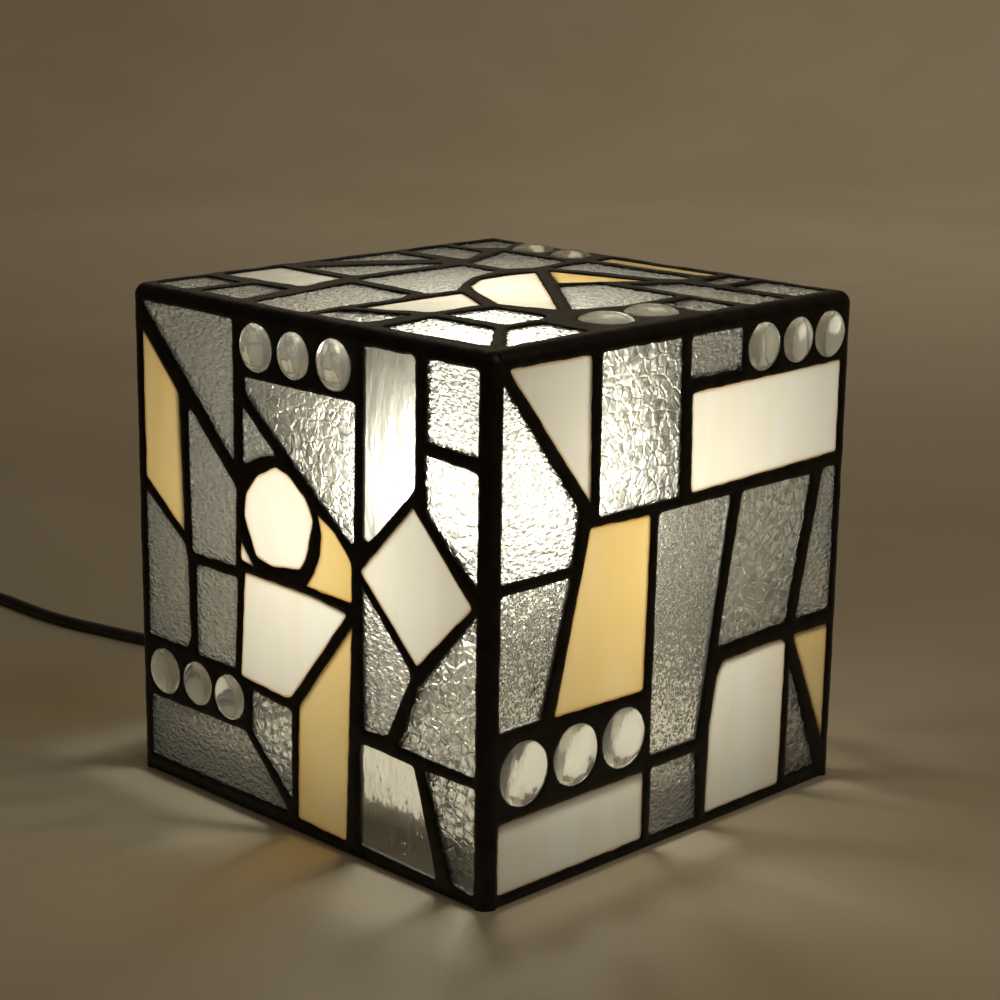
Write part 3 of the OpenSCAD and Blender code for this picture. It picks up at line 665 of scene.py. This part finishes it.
def triangles(outer, holes, inner):
    """Triangles that fill outer but for its holes, with the inner points as corners too."""
    points = [Vector(p) for p in outer]
    edges = [(i, (i + 1) % len(outer)) for i in range(len(outer))]
    for hole in holes:
        start = len(points)
        edges.extend((start + i, start + (i + 1) % len(hole)) for i in range(len(hole)))
        points.extend(Vector(p) for p in hole)
    points.extend(Vector(p) for p in inner)
    verts, _, faces, _, _, _ = delaunay_2d_cdt(points, edges, [], 0, 1e-8)
    flat = np.array(verts)
    middles = flat[np.array([tuple(f) for f in faces])].mean(axis=1)
    wanted = within(np.asarray(outer), middles)
    for hole in holes:
        wanted &= ~within(hole, middles)
    kept = [tuple(f) for f, keep in zip(faces, wanted) if keep]
    used = sorted({i for f in kept for i in f})
    index = {old: new for new, old in enumerate(used)}
    return flat[used], [tuple(index[i] for i in f) for f in kept]


def slab(face, flat, faces, top, bottom):
    """A closed solid between two heights over flat triangles."""
    n = len(flat)
    upper = to_lamp(face, np.column_stack((flat, top)))
    lower = to_lamp(face, np.column_stack((flat, bottom)))
    verts = [tuple(v) for v in upper] + [tuple(v) for v in lower]
    all_faces = faces + [(f[2] + n, f[1] + n, f[0] + n) for f in faces]
    edges = {(a, b) for f in faces for a, b in zip(f, f[1:] + f[:1])}
    all_faces += [(b, a, a + n, b + n) for a, b in edges if (b, a) not in edges]
    return verts, all_faces


# ---- solder ----
# A seam is a bead: it rises from its edge on the glass within BEAD_R, with points at BEAD_ROWS from there
BEAD_EDGE = GLASS_OUT - 0.15 * MM
BEAD_R = 2.2 * MM
BEAD_ROWS = (0.3 * MM, 0.75 * MM, 1.4 * MM, 2.1 * MM)
SOLDER_STEP = 1.0 * MM
SOLDER_GRID = 1.7 * MM
EDGE_STEP = 0.3 * MM
BORDER_STEP = 1.5 * MM
BORDER_GAP = 0.4 * MM
BORDER_RISE = 1.2 * MM


def lumps(points):
    """How far hand-run solder stands proud or low, at points of the lamp."""
    return 0.22 * MM * wave(points, 11 * MM, 3.1) + 0.10 * MM * wave(points, 4 * MM, 7.7)


def bead(d):
    """The round profile of a seam, from its edge inwards, from 0 to 1."""
    return np.sqrt(1 - (1 - np.clip(d / BEAD_R, 0, 1)) ** 2)


def lattice(face, low, high, openings, border=None, free=None):
    """Solder of a face: beads round every opening, level where they are far apart. border is its outline
    if that isn't the box from low to high, and free is the stretch of it that ends in air."""
    rows = []
    for outline in openings:
        line = sampled(outline, SOLDER_STEP, 2)
        at = to_lamp(face, np.column_stack((line, np.zeros(len(line)))))
        sway = 0.32 * MM * wave(at, 6 * MM, 1.7) + 0.15 * MM * wave(at, 2.0 * MM, 5.2)
        rows.append(line + outward(line) * sway[:, None])
    shaped = list(rows)
    edges = [sampled(line, EDGE_STEP) for line in shaped]
    sides = [outward(line) for line in rows]
    if free is not None:
        t = np.gradient(free, axis=0)
        t /= np.linalg.norm(t, axis=1)[:, None]
        rows.append(free)
        sides.append(np.stack((-t[:, 1], t[:, 0]), axis=1))
        edges.append(free)
    if border is None:
        border = np.array([(low[0], low[1]), (high[0], low[1]), (high[0], high[1]), (low[0], high[1])])
    border = sampled(border, BORDER_STEP)
    near = tree_of(np.concatenate(edges))
    inner = []
    for line, side in zip(rows, sides):
        for gap in BEAD_ROWS:
            row = line + side * gap
            inner.append(row[distances(near, row) > gap * 0.93])
    fill = hex_grid(low, high, SOLDER_GRID, 5)
    inner.append(fill[distances(near, fill) > BEAD_R + BORDER_GAP])
    inner = np.concatenate(inner)
    inside = (inner > np.array(low) + BORDER_GAP) & (inner < np.array(high) - BORDER_GAP)
    flat, faces = triangles(border, shaped, inner[inside.all(axis=1)])
    profile = bead(distances(near, flat))
    to_border = [flat[:, 0] - low[0], high[0] - flat[:, 0], high[1] - flat[:, 1]]
    if free is None:
        to_border.append(flat[:, 1] - low[1])
    profile = np.maximum(profile, 1 - smoothstep(np.minimum.reduce(to_border), 0.0, BORDER_RISE))
    at = to_lamp(face, np.column_stack((flat, np.full(len(flat), SEAM_T))))
    top = BEAD_EDGE + (SEAM_T - BEAD_EDGE) * profile + lumps(at) * profile
    bottom = (GLASS_IN + 0.15 * MM) * (1 - profile)
    return slab(face, flat, faces, top, bottom)


def pane_nodes(face):
    return [n for n in frame["nodes"] if n.startswith(face + "_")
            and SLOT_OF[n].endswith("_glass")]


PANES = {n: [flat_outline(n.split("_")[0], part) for part in loose_parts(n)]
         for face in FACES for n in pane_nodes(face)}


def nuggets_of(face):
    """(u, v, radius) of the nuggets set in a face."""
    found = []
    m = np.array(FACES[face].inverted())
    for verts, _ in loose_parts("glass_nuggets"):
        local = verts @ m[:3, :3].T + m[:3, 3]
        low = local.min(0)
        high = local.max(0)
        if 0 < low[2] < 2 * MM and high[2] < 3 * SEAM_T:
            found.append(((low[0] + high[0]) / 2, (low[1] + high[1]) / 2, (high[0] - low[0]) / 2))
    return found


NUGGETS = {face: nuggets_of(face) for face in FACES}
NUGGET_LAP = 1.15 * MM


def circle(u, v, r):
    return np.array([(u + r * math.cos(a), v + r * math.sin(a))
                     for a in np.linspace(0, 2 * math.pi, 48, endpoint=False)])


def make_lattices():
    for face in FACES:
        openings = [moved_in(p, LAP) for n in pane_nodes(face) for p in PANES[n]]
        openings += [circle(u, v, r - NUGGET_LAP) for u, v, r in NUGGETS[face]]
        foot = {"top": -PANEL, "left": SILL_H}.get(face, RIM_H)
        head = PANEL if face == "top" else SHOULDER
        piece = mesh_object(face + "_solder", *lattice(face, (-PANEL, foot), (PANEL, head), openings))
        stand_for(piece, face + "_seams")


ROUND_STEPS = 10


def rounded(core, normal):
    """Points on the cube's rounded edges, with the lumps of the solder."""
    at = core + normal * SEAM_T
    return core + normal * (SEAM_T + lumps(at))[:, None]


def quarter_bar(start, end, first, second):
    """A closed quarter-round bar from start to end, its round side from one normal to the other."""
    bend = ROUND_STEPS
    start = np.array(start)
    end = np.array(end)
    count = max(2, round(float(np.linalg.norm(end - start)) / BORDER_STEP))
    cores = []
    normals = []
    for i in range(count + 1):
        for k in range(bend + 1):
            a = math.pi / 2 * k / bend
            cores.append(start + (end - start) * i / count)
            normals.append(np.array(first) * math.cos(a) + np.array(second) * math.sin(a))
    skin = rounded(np.array(cores), np.array(normals))
    verts = [tuple(p) for p in skin] + [tuple(start), tuple(end)]
    wide = bend + 1
    faces = []
    for i in range(count):
        for k in range(bend):
            a = i * wide + k
            faces.append((a, a + wide, a + wide + 1, a + 1))
    c0 = len(skin)
    c1 = c0 + 1
    for k in range(bend):
        faces.append((k, k + 1, c0))
        faces.append((count * wide + k + 1, count * wide + k, c1))
    faces.append((c0, *[i * wide for i in range(count + 1)], c1))
    faces.append((c0, *[i * wide + bend for i in range(count + 1)], c1))
    return verts, faces


def corner_knob(x, y):
    """The round corner where three edges of the cube meet."""
    bend = ROUND_STEPS
    core = np.array((x * PANEL, y * PANEL, SHOULDER))
    normals = []
    for i in range(bend + 1):
        up = math.pi / 2 * i / bend
        for k in range(bend + 1):
            a = math.pi / 2 * k / bend
            normals.append((x * math.cos(a) * math.cos(up), y * math.sin(a) * math.cos(up), math.sin(up)))
    skin = rounded(np.tile(core, (len(normals), 1)), np.array(normals))
    wide = bend + 1
    verts = [tuple(p) for p in skin] + [tuple(core)]
    c = len(skin)
    faces = []
    for i in range(bend):
        for k in range(bend):
            a = i * wide + k
            faces.append((a, a + 1, a + wide + 1, a + wide))
    for k in range(bend):
        faces.append((k + 1, k, c))
        faces.append((k * wide, (k + 1) * wide, c))
        faces.append(((k + 1) * wide + bend, k * wide + bend, c))
    return verts, faces


def make_edges():
    up = (0, 0, 1)
    posts = []
    for x, y in ((1, 1), (1, -1), (-1, 1), (-1, -1)):
        foot = (x * PANEL, y * PANEL, 0)
        head = (x * PANEL, y * PANEL, SHOULDER)
        posts.append(quarter_bar(foot, head, (x, 0, 0), (0, y, 0)))
    stand_for(mesh_object("corner_solder", *join(posts), turn_out=True), "corner_seams")
    round_top = []
    for s in (1, -1):
        at = s * PANEL
        round_top.append(quarter_bar((-PANEL, at, SHOULDER), (PANEL, at, SHOULDER), (0, s, 0), up))
        round_top.append(quarter_bar((at, -PANEL, SHOULDER), (at, PANEL, SHOULDER), (s, 0, 0), up))
        round_top += [corner_knob(s, t) for t in (1, -1)]
    stand_for(mesh_object("top_edge_solder", *join(round_top), turn_out=True), "top_edge_seams")


NOTCH_R = 4.5 * MM
NOTCH_TOP = 8.5 * MM


def make_rims():
    """The bars that the cube stands on, round where they meet the table. The left one has a notch for the
    cord."""
    reach = np.arange(-PANEL, PANEL + 0.1 * MM, 0.5 * MM)
    foot = np.column_stack((reach, np.zeros(len(reach))))
    parts = [lattice(face, (-PANEL, 0), (PANEL, RIM_H), [], free=foot) for face in ("front", "back")]
    stand_for(mesh_object("front_and_back_rim", *join(parts)), "rim_front_back")
    arch = [(NOTCH_R * math.cos(a), NOTCH_TOP - NOTCH_R + NOTCH_R * math.sin(a))
            for a in np.linspace(math.pi, 0, 25)]
    under = [(-PANEL, 0), (-NOTCH_R, 0), *arch, (NOTCH_R, 0), (PANEL, 0)]
    chain = sampled(np.array(under), 0.5 * MM)
    chain = chain[:int(np.argmax(chain[:, 0])) + 1]
    outline = np.array(under + [(PANEL, SILL_H), (-PANEL, SILL_H)])
    left = lattice("left", (-PANEL, 0), (PANEL, SILL_H), [], outline, chain)
    right = lattice("right", (-PANEL, 0), (PANEL, RIM_H), [], free=foot)
    stand_for(mesh_object("left_and_right_rim", *join([left, right])), "rim_sides")


# ---- glass ----
def flat_wave(flat, wide, tall, seed, turn=0.0):
    """Smooth noise over a pane, with bumps wide by tall, turned by some degrees."""
    c = math.cos(math.radians(turn))
    s = math.sin(math.radians(turn))
    return np.array([noise.noise(Vector(((u * c - v * s) / wide, (u * s + v * c) / tall, seed)))
                     for u, v in flat])


def hammered(flat, seed):
    """Rows of small soft dents, as rollers leave them."""
    tilt = 18 * math.sin(seed * 7.3)
    return (0.33 * MM * flat_wave(flat, 2.0 * MM, 1.15 * MM, seed, tilt)
            + 0.10 * MM * flat_wave(flat, 4.0 * MM, 4.0 * MM, seed + 9))


def crackled(flat, seed):
    """Flat shards with sharp ridges between them, each shard tilted its own way."""
    rng = random.Random(round(seed * 1000))
    low = flat.min(0) - 6 * MM
    high = flat.max(0) + 6 * MM
    step = 3.6 * MM
    centres = []
    for u in np.arange(low[0], high[0], step):
        for v in np.arange(low[1], high[1], step * 1.15):
            centres.append((u + rng.uniform(-0.5, 0.5) * step, v + rng.uniform(-0.55, 0.55) * step,
                            rng.uniform(-0.14, 0.14), rng.uniform(-0.14, 0.14)))
    tree = tree_of(centres)
    out = []
    for u, v in flat:
        (_, i, near), (_, _, far) = tree.find_n((u, v, 0.0), 2)
        cu, cv, slope_u, slope_v = centres[i]
        ridge = max(0.0, 1 - (far - near) / (1.4 * MM))
        out.append(0.20 * MM * ridge + slope_u * (u - cu) + slope_v * (v - cv) - 0.1 * MM)
    return np.array(out)


def glittered(flat, seed):
    """A fine, even roughness."""
    return (0.08 * MM * flat_wave(flat, 0.8 * MM, 0.8 * MM, seed)
            + 0.06 * MM * flat_wave(flat, 2.4 * MM, 2.4 * MM, seed + 5))


def rolled(flat, seed):
    """Long soft streaks, upright, in nearly smooth glass."""
    return (0.09 * MM * flat_wave(flat, 9 * MM, 30 * MM, seed)
            + 0.03 * MM * flat_wave(flat, 4 * MM, 12 * MM, seed))


# The relief of each kind of glass, and how far apart the points are that carry it
RELIEF = {"hammered_glass": (hammered, 0.62 * MM), "crackle_glass": (crackled, 0.55 * MM),
          "glitter_glass": (glittered, 0.42 * MM), "seedy_glass": (rolled, 1.6 * MM),
          "opal_glass": (rolled, 2.2 * MM), "champagne_glass": (rolled, 2.2 * MM)}


def bubble(face, u, v, z, r, long):
    """A small closed bubble inside the glass, its faces turned towards its air."""
    bm = bmesh.new()
    bmesh.ops.create_icosphere(bm, subdivisions=1, radius=1.0)
    local = np.array([v_.co for v_ in bm.verts]) * (r, r * long, r * 0.8) + (u, v, z)
    verts = [tuple(p) for p in to_lamp(face, local)]
    faces = [tuple(reversed([v_.index for v_ in f.verts])) for f in bm.faces]
    bm.free()
    return verts, faces


def seeds(face, outline, rng):
    """Bubbles scattered through a seedy pane."""
    parts = []
    core = moved_in(outline, 2 * MM)
    low = core.min(0)
    high = core.max(0)
    for _ in range(int((high - low).prod() / (14 * MM * MM))):
        u = rng.uniform(low[0], high[0])
        v = rng.uniform(low[1], high[1])
        r = rng.choice((0.18, 0.25, 0.25, 0.35, 0.55)) * MM
        z = rng.uniform(GLASS_IN + 0.8 * MM, GLASS_OUT - 0.8 * MM)
        if within(core, np.array([(u, v)]))[0]:
            parts.append(bubble(face, u, v, z, r, rng.uniform(1.1, 2.2)))
    return parts


def pane(face, outline, slot, seed):
    """One pane of glass: its outer side carries the relief, its inner side is nearly flat."""
    relief, step = RELIEF[slot]
    border = sampled(outline, min(step, 1.0 * MM))
    near = tree_of(sampled(outline, 0.3 * MM))
    fill = hex_grid(outline.min(0), outline.max(0), step, 11)
    rows = [sampled(moved_in(outline, gap), 1.0 * MM) for gap in (1.2 * MM, 2.0 * MM)] if step > MM else []
    inner = np.concatenate([fill[distances(near, fill) > max(0.45 * step, 0.25 * MM)], *rows])
    flat, faces = triangles(border, [], inner)
    room = smoothstep(distances(near, flat), 0.0, 0.5 * MM)
    top = GLASS_OUT - 0.12 * MM + relief(flat, seed) * (0.35 + 0.65 * room)
    bottom = GLASS_IN + 0.05 * MM * flat_wave(flat, 14 * MM, 14 * MM, seed + 3)
    return slab(face, flat, faces, top, bottom), np.tile(distances(near, flat), 2)


def make_panes():
    rng = random.Random(4)
    for node, outlines in PANES.items():
        face = node.split("_")[0]
        slot = SLOT_OF[node]
        parts = []
        rims = []
        for i, outline in enumerate(outlines):
            finish = slot
            if node in ("back_clear", "left_clear") and i % 3 == 2:
                finish = "crackle_glass"
            solid, rim = pane(face, outline, finish, 1.7 * i + 13 * len(node) + 0.31)
            parts.append(solid)
            rims.append(rim)
            if slot == "seedy_glass":
                for found in seeds(face, outline, rng):
                    parts.append(found)
                    rims.append(np.full(len(found[0]), 5 * MM))
        piece = mesh_object(node + "_sheet", *join(parts), crease=60.0)
        rim = piece.data.attributes.new("rim_distance", "FLOAT", "POINT")
        rim.data.foreach_set("value", np.concatenate(rims).astype(np.float32))
        stand_for(piece, node)


def nugget(face, u, v, r, rng):
    """A half-melted drop of glass: flat behind, round in front, never quite a circle."""
    around = 64
    rings = 18
    seed = rng.uniform(0, 50)
    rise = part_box("glass_nuggets")[1].x - PANEL
    back_z = 0.6 * MM
    waist_z = SEAM_T / 2 + 0.8 * MM
    large = r > 10.5 * MM
    local = []
    for k in range(rings + 1):
        a = math.pi / 2 * k / rings
        for i in range(around):
            t = 2 * math.pi * i / around
            way = Vector((math.cos(t), math.sin(t), seed))
            reach = r * (1 + (0.035 if large else 0.02) * noise.noise(way * 1.3))
            rho = math.cos(a) ** (0.82 if large else 1.0)
            x = reach * rho * math.cos(t)
            y = reach * rho * math.sin(t)
            dent = noise.noise(Vector((x / (7 * MM), y / (7 * MM), seed)))
            dent += 0.35 * noise.noise(Vector((x / (2.5 * MM), y / (2.5 * MM), seed + 5)))
            z = waist_z + (rise - waist_z - 0.25 * MM) * math.sin(a)
            z += (0.42 if large else 0.16) * MM * dent * math.sin(a)
            local.append((u + x, v + y, z))
    crown = len(local) - around
    for k, (share, z) in enumerate(((1.0, back_z + 1.2 * MM), (0.96, back_z + 0.35 * MM), (0.9, back_z))):
        for i in range(around):
            t = 2 * math.pi * i / around
            local.append((u + r * share * math.cos(t), v + r * share * math.sin(t), z))
    faces = []

    def strip(a0, b0):
        for i in range(around):
            j = (i + 1) % around
            faces.append((a0 + i, a0 + j, b0 + j, b0 + i))

    for k in range(rings - 1):
        strip(k * around, (k + 1) * around)
    faces.append(tuple(range(crown - around, crown)))
    skirt = crown + around
    strip(skirt, 0)
    strip(skirt + around, skirt)
    strip(skirt + 2 * around, skirt + around)
    faces.append(tuple(reversed(range(skirt + 2 * around, skirt + 3 * around))))
    used = sorted({i for f in faces for i in f})
    index = {old: new for new, old in enumerate(used)}
    points = to_lamp(face, np.array(local)[used])
    return [tuple(p) for p in points], [tuple(index[i] for i in f) for f in faces]


def make_nuggets():
    rng = random.Random(21)
    parts = [nugget(face, u, v, r, rng) for face in FACES for u, v, r in NUGGETS[face]]
    piece = mesh_object("nugget_drops", *join(parts), crease=80.0, turn_out=True)
    stand_for(piece, "glass_nuggets")


# ---- bulb and lampholder ----
SCREW_PITCH = 2.82 * MM
SCREW_DEPTH = 0.5 * MM
SCREW_FADE = 1.4 * MM
CAP_RADII = (6.4 * MM, 6.95 * MM)
SHELL_RADII = (7.2 * MM, 8.6 * MM)


def screw_ring(name, node, inner, outer, inside):
    """A ring with the round thread of a 14 mm lamp base on its inside or its outside."""
    low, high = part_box(node)
    around = 72
    levels = np.linspace(low.z, high.z, 73)
    fade = (smoothstep(levels, low.z, low.z + SCREW_FADE)
            * (1 - smoothstep(levels, high.z - SCREW_FADE, high.z)))
    verts = []
    for wall in (0, 1):
        for z, share in zip(levels, fade):
            for i in range(around):
                a = 2 * math.pi * i / around
                groove = SCREW_DEPTH * share * (0.5 - 0.5 * math.cos(2 * math.pi * z / SCREW_PITCH - a))
                radius = outer if wall else inner
                if inside != bool(wall):
                    radius += groove if inside else -groove
                verts.append((radius * math.cos(a), radius * math.sin(a), z))
    rows = len(levels)
    faces = []
    for i in range(around):
        j = (i + 1) % around
        for start in (0, rows * around):
            for k in range(rows - 1):
                a = start + k * around
                faces.append((a + i, a + j, a + around + j, a + around + i))
        for k in (0, rows - 1):
            a = k * around
            faces.append((a + i, a + j, a + rows * around + j, a + rows * around + i))
    stand_for(mesh_object(name, verts, faces, turn_out=True), node)


def soften(node, width):
    """Rounds the sharp edges of a CAD piece by width, and changes nothing else."""
    weld = node.modifiers.new("weld", "WELD")
    weld.merge_threshold = 0.001 * MM
    bevel = node.modifiers.new("bevel", "BEVEL")
    bevel.width = width
    bevel.segments = 3
    bevel.limit_method = "ANGLE"
    bevel.angle_limit = math.radians(35)


SOFT_EDGES = {"base_board": 0.8 * MM, "rubber_feet": 0.6 * MM, "cord_clamp": 0.8 * MM,
              "plug_body": 0.9 * MM, "switch_base": 0.5 * MM, "switch_cover": 0.5 * MM,
              "switch_rocker": 0.3 * MM, "nipple_nuts": 0.3 * MM, "holder_contact": 0.1 * MM}

make_lattices()
make_edges()
make_rims()
make_panes()
make_nuggets()
screw_ring("bulb_screw_cap", "bulb_cap", *CAP_RADII, False)
screw_ring("holder_screw_shell", "thread_shell", *SHELL_RADII, True)

for name, node in frame["nodes"].items():
    if not node.hide_render:
        dress(node, SLOT_OF[name])
        if name in SOFT_EDGES:
            soften(node, SOFT_EDGES[name])


# ---- room ----
def floor_material():
    n = Nodes("pale_floor")
    grain = n.noise(n.coords(420), 4.0, 0.6)
    cloud = n.noise(n.coords(5), 2.0)
    tone = n.blend(n.ramp(cloud, 0.3, 0.7), (0.56, 0.49, 0.37), (0.60, 0.53, 0.41))
    return n.finish(n.principled(Base_Color=tone, Roughness=0.62, Specular_IOR_Level=0.3,
                                 Normal=n.bump(grain, 0.25 * MM, 0.5)))


def make_floor():
    """A round floor whose edge curves up into a wall, so that it fills every view."""
    flat_r = 1.8
    bend_r = 0.9
    wall_h = 2.6
    profile = [(r, 0.0) for r in (0.0, 0.25, 0.5, 1.0, 1.4, flat_r)]
    profile += [(flat_r + bend_r * math.sin(a), bend_r * (1 - math.cos(a)))
                for a in np.linspace(0, math.pi / 2, 12)[1:]]
    profile.append((flat_r + bend_r, wall_h))
    around = 96
    verts = [(0, 0, 0)]
    faces = []
    for r, z in profile[1:]:
        verts += [(r * math.cos(2 * math.pi * i / around), r * math.sin(2 * math.pi * i / around), z)
                  for i in range(around)]
    for i in range(around):
        j = (i + 1) % around
        faces.append((0, 1 + i, 1 + j))
        for k in range(len(profile) - 2):
            a = 1 + k * around
            faces.append((a + i, a + around + i, a + around + j, a + j))
    floor = mesh_object("floor", verts, faces)
    floor.data.materials.append(floor_material())


def area_light(name, at, aim, size, watts, colour):
    data = bpy.data.lights.new(name, "AREA")
    data.shape = "DISK"
    data.size = size
    data.energy = watts
    data.color = colour
    light = bpy.data.objects.new(name, data)
    light.location = at
    light.visible_camera = False
    light.rotation_euler = (Vector(aim) - Vector(at)).to_track_quat("-Z", "Y").to_euler()
    bpy.context.scene.collection.objects.link(light)


def make_lights():
    """The bulb's light, a sphere larger than its globe so that the collar hardly shadows the low panes, and
    the soft light of the room."""
    bulb = bpy.data.lights.new("bulb_light", "POINT")
    bulb.energy = 0.66
    bulb.color = (1.0, 0.965, 0.87)
    bulb.shadow_soft_size = GLOBE_R * 1.4
    light = bpy.data.objects.new("bulb_light", bulb)
    light.location = GLOBE_C
    bpy.context.scene.collection.objects.link(light)
    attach(light, "bulb")
    area_light("soft_key", (0.95, 0.15, 1.15), (0.3, -0.12, 0), 1.0, 2.8, (1.0, 0.88, 0.68))
    area_light("soft_side", (-0.3, -1.6, 1.6), (0, 0, 0.09), 1.4, 0.7, (1.0, 0.87, 0.66))
    area_light("back_fill", (-1.3, 0.9, 1.3), (-0.3, 0, 0), 1.2, 1.6, (1.0, 0.88, 0.68))
    area_light("wall_wash", (-0.5, 1.2, 1.3), (-1.0, 2.3, 0.3), 1.0, 5.0, (1.0, 0.90, 0.72))
    world = bpy.data.worlds.new("room")
    world.use_nodes = True
    back = world.node_tree.nodes["Background"]
    back.inputs["Color"].default_value = (1.0, 0.84, 0.60, 1)
    back.inputs["Strength"].default_value = 0.058
    bpy.context.scene.world = world


def set_look():
    scene = bpy.context.scene
    scene.view_settings.view_transform = "Standard"
    scene.view_settings.exposure = 0.0
    scene.cycles.use_denoising = True
    scene.cycles.max_bounces = 18
    scene.cycles.transmission_bounces = 16
    scene.cycles.transparent_max_bounces = 32
    scene.cycles.diffuse_bounces = 5
    scene.cycles.caustics_reflective = False
    scene.cycles.caustics_refractive = False
    scene.cycles.sample_clamp_indirect = 6.0


make_floor()
make_lights()
set_look()
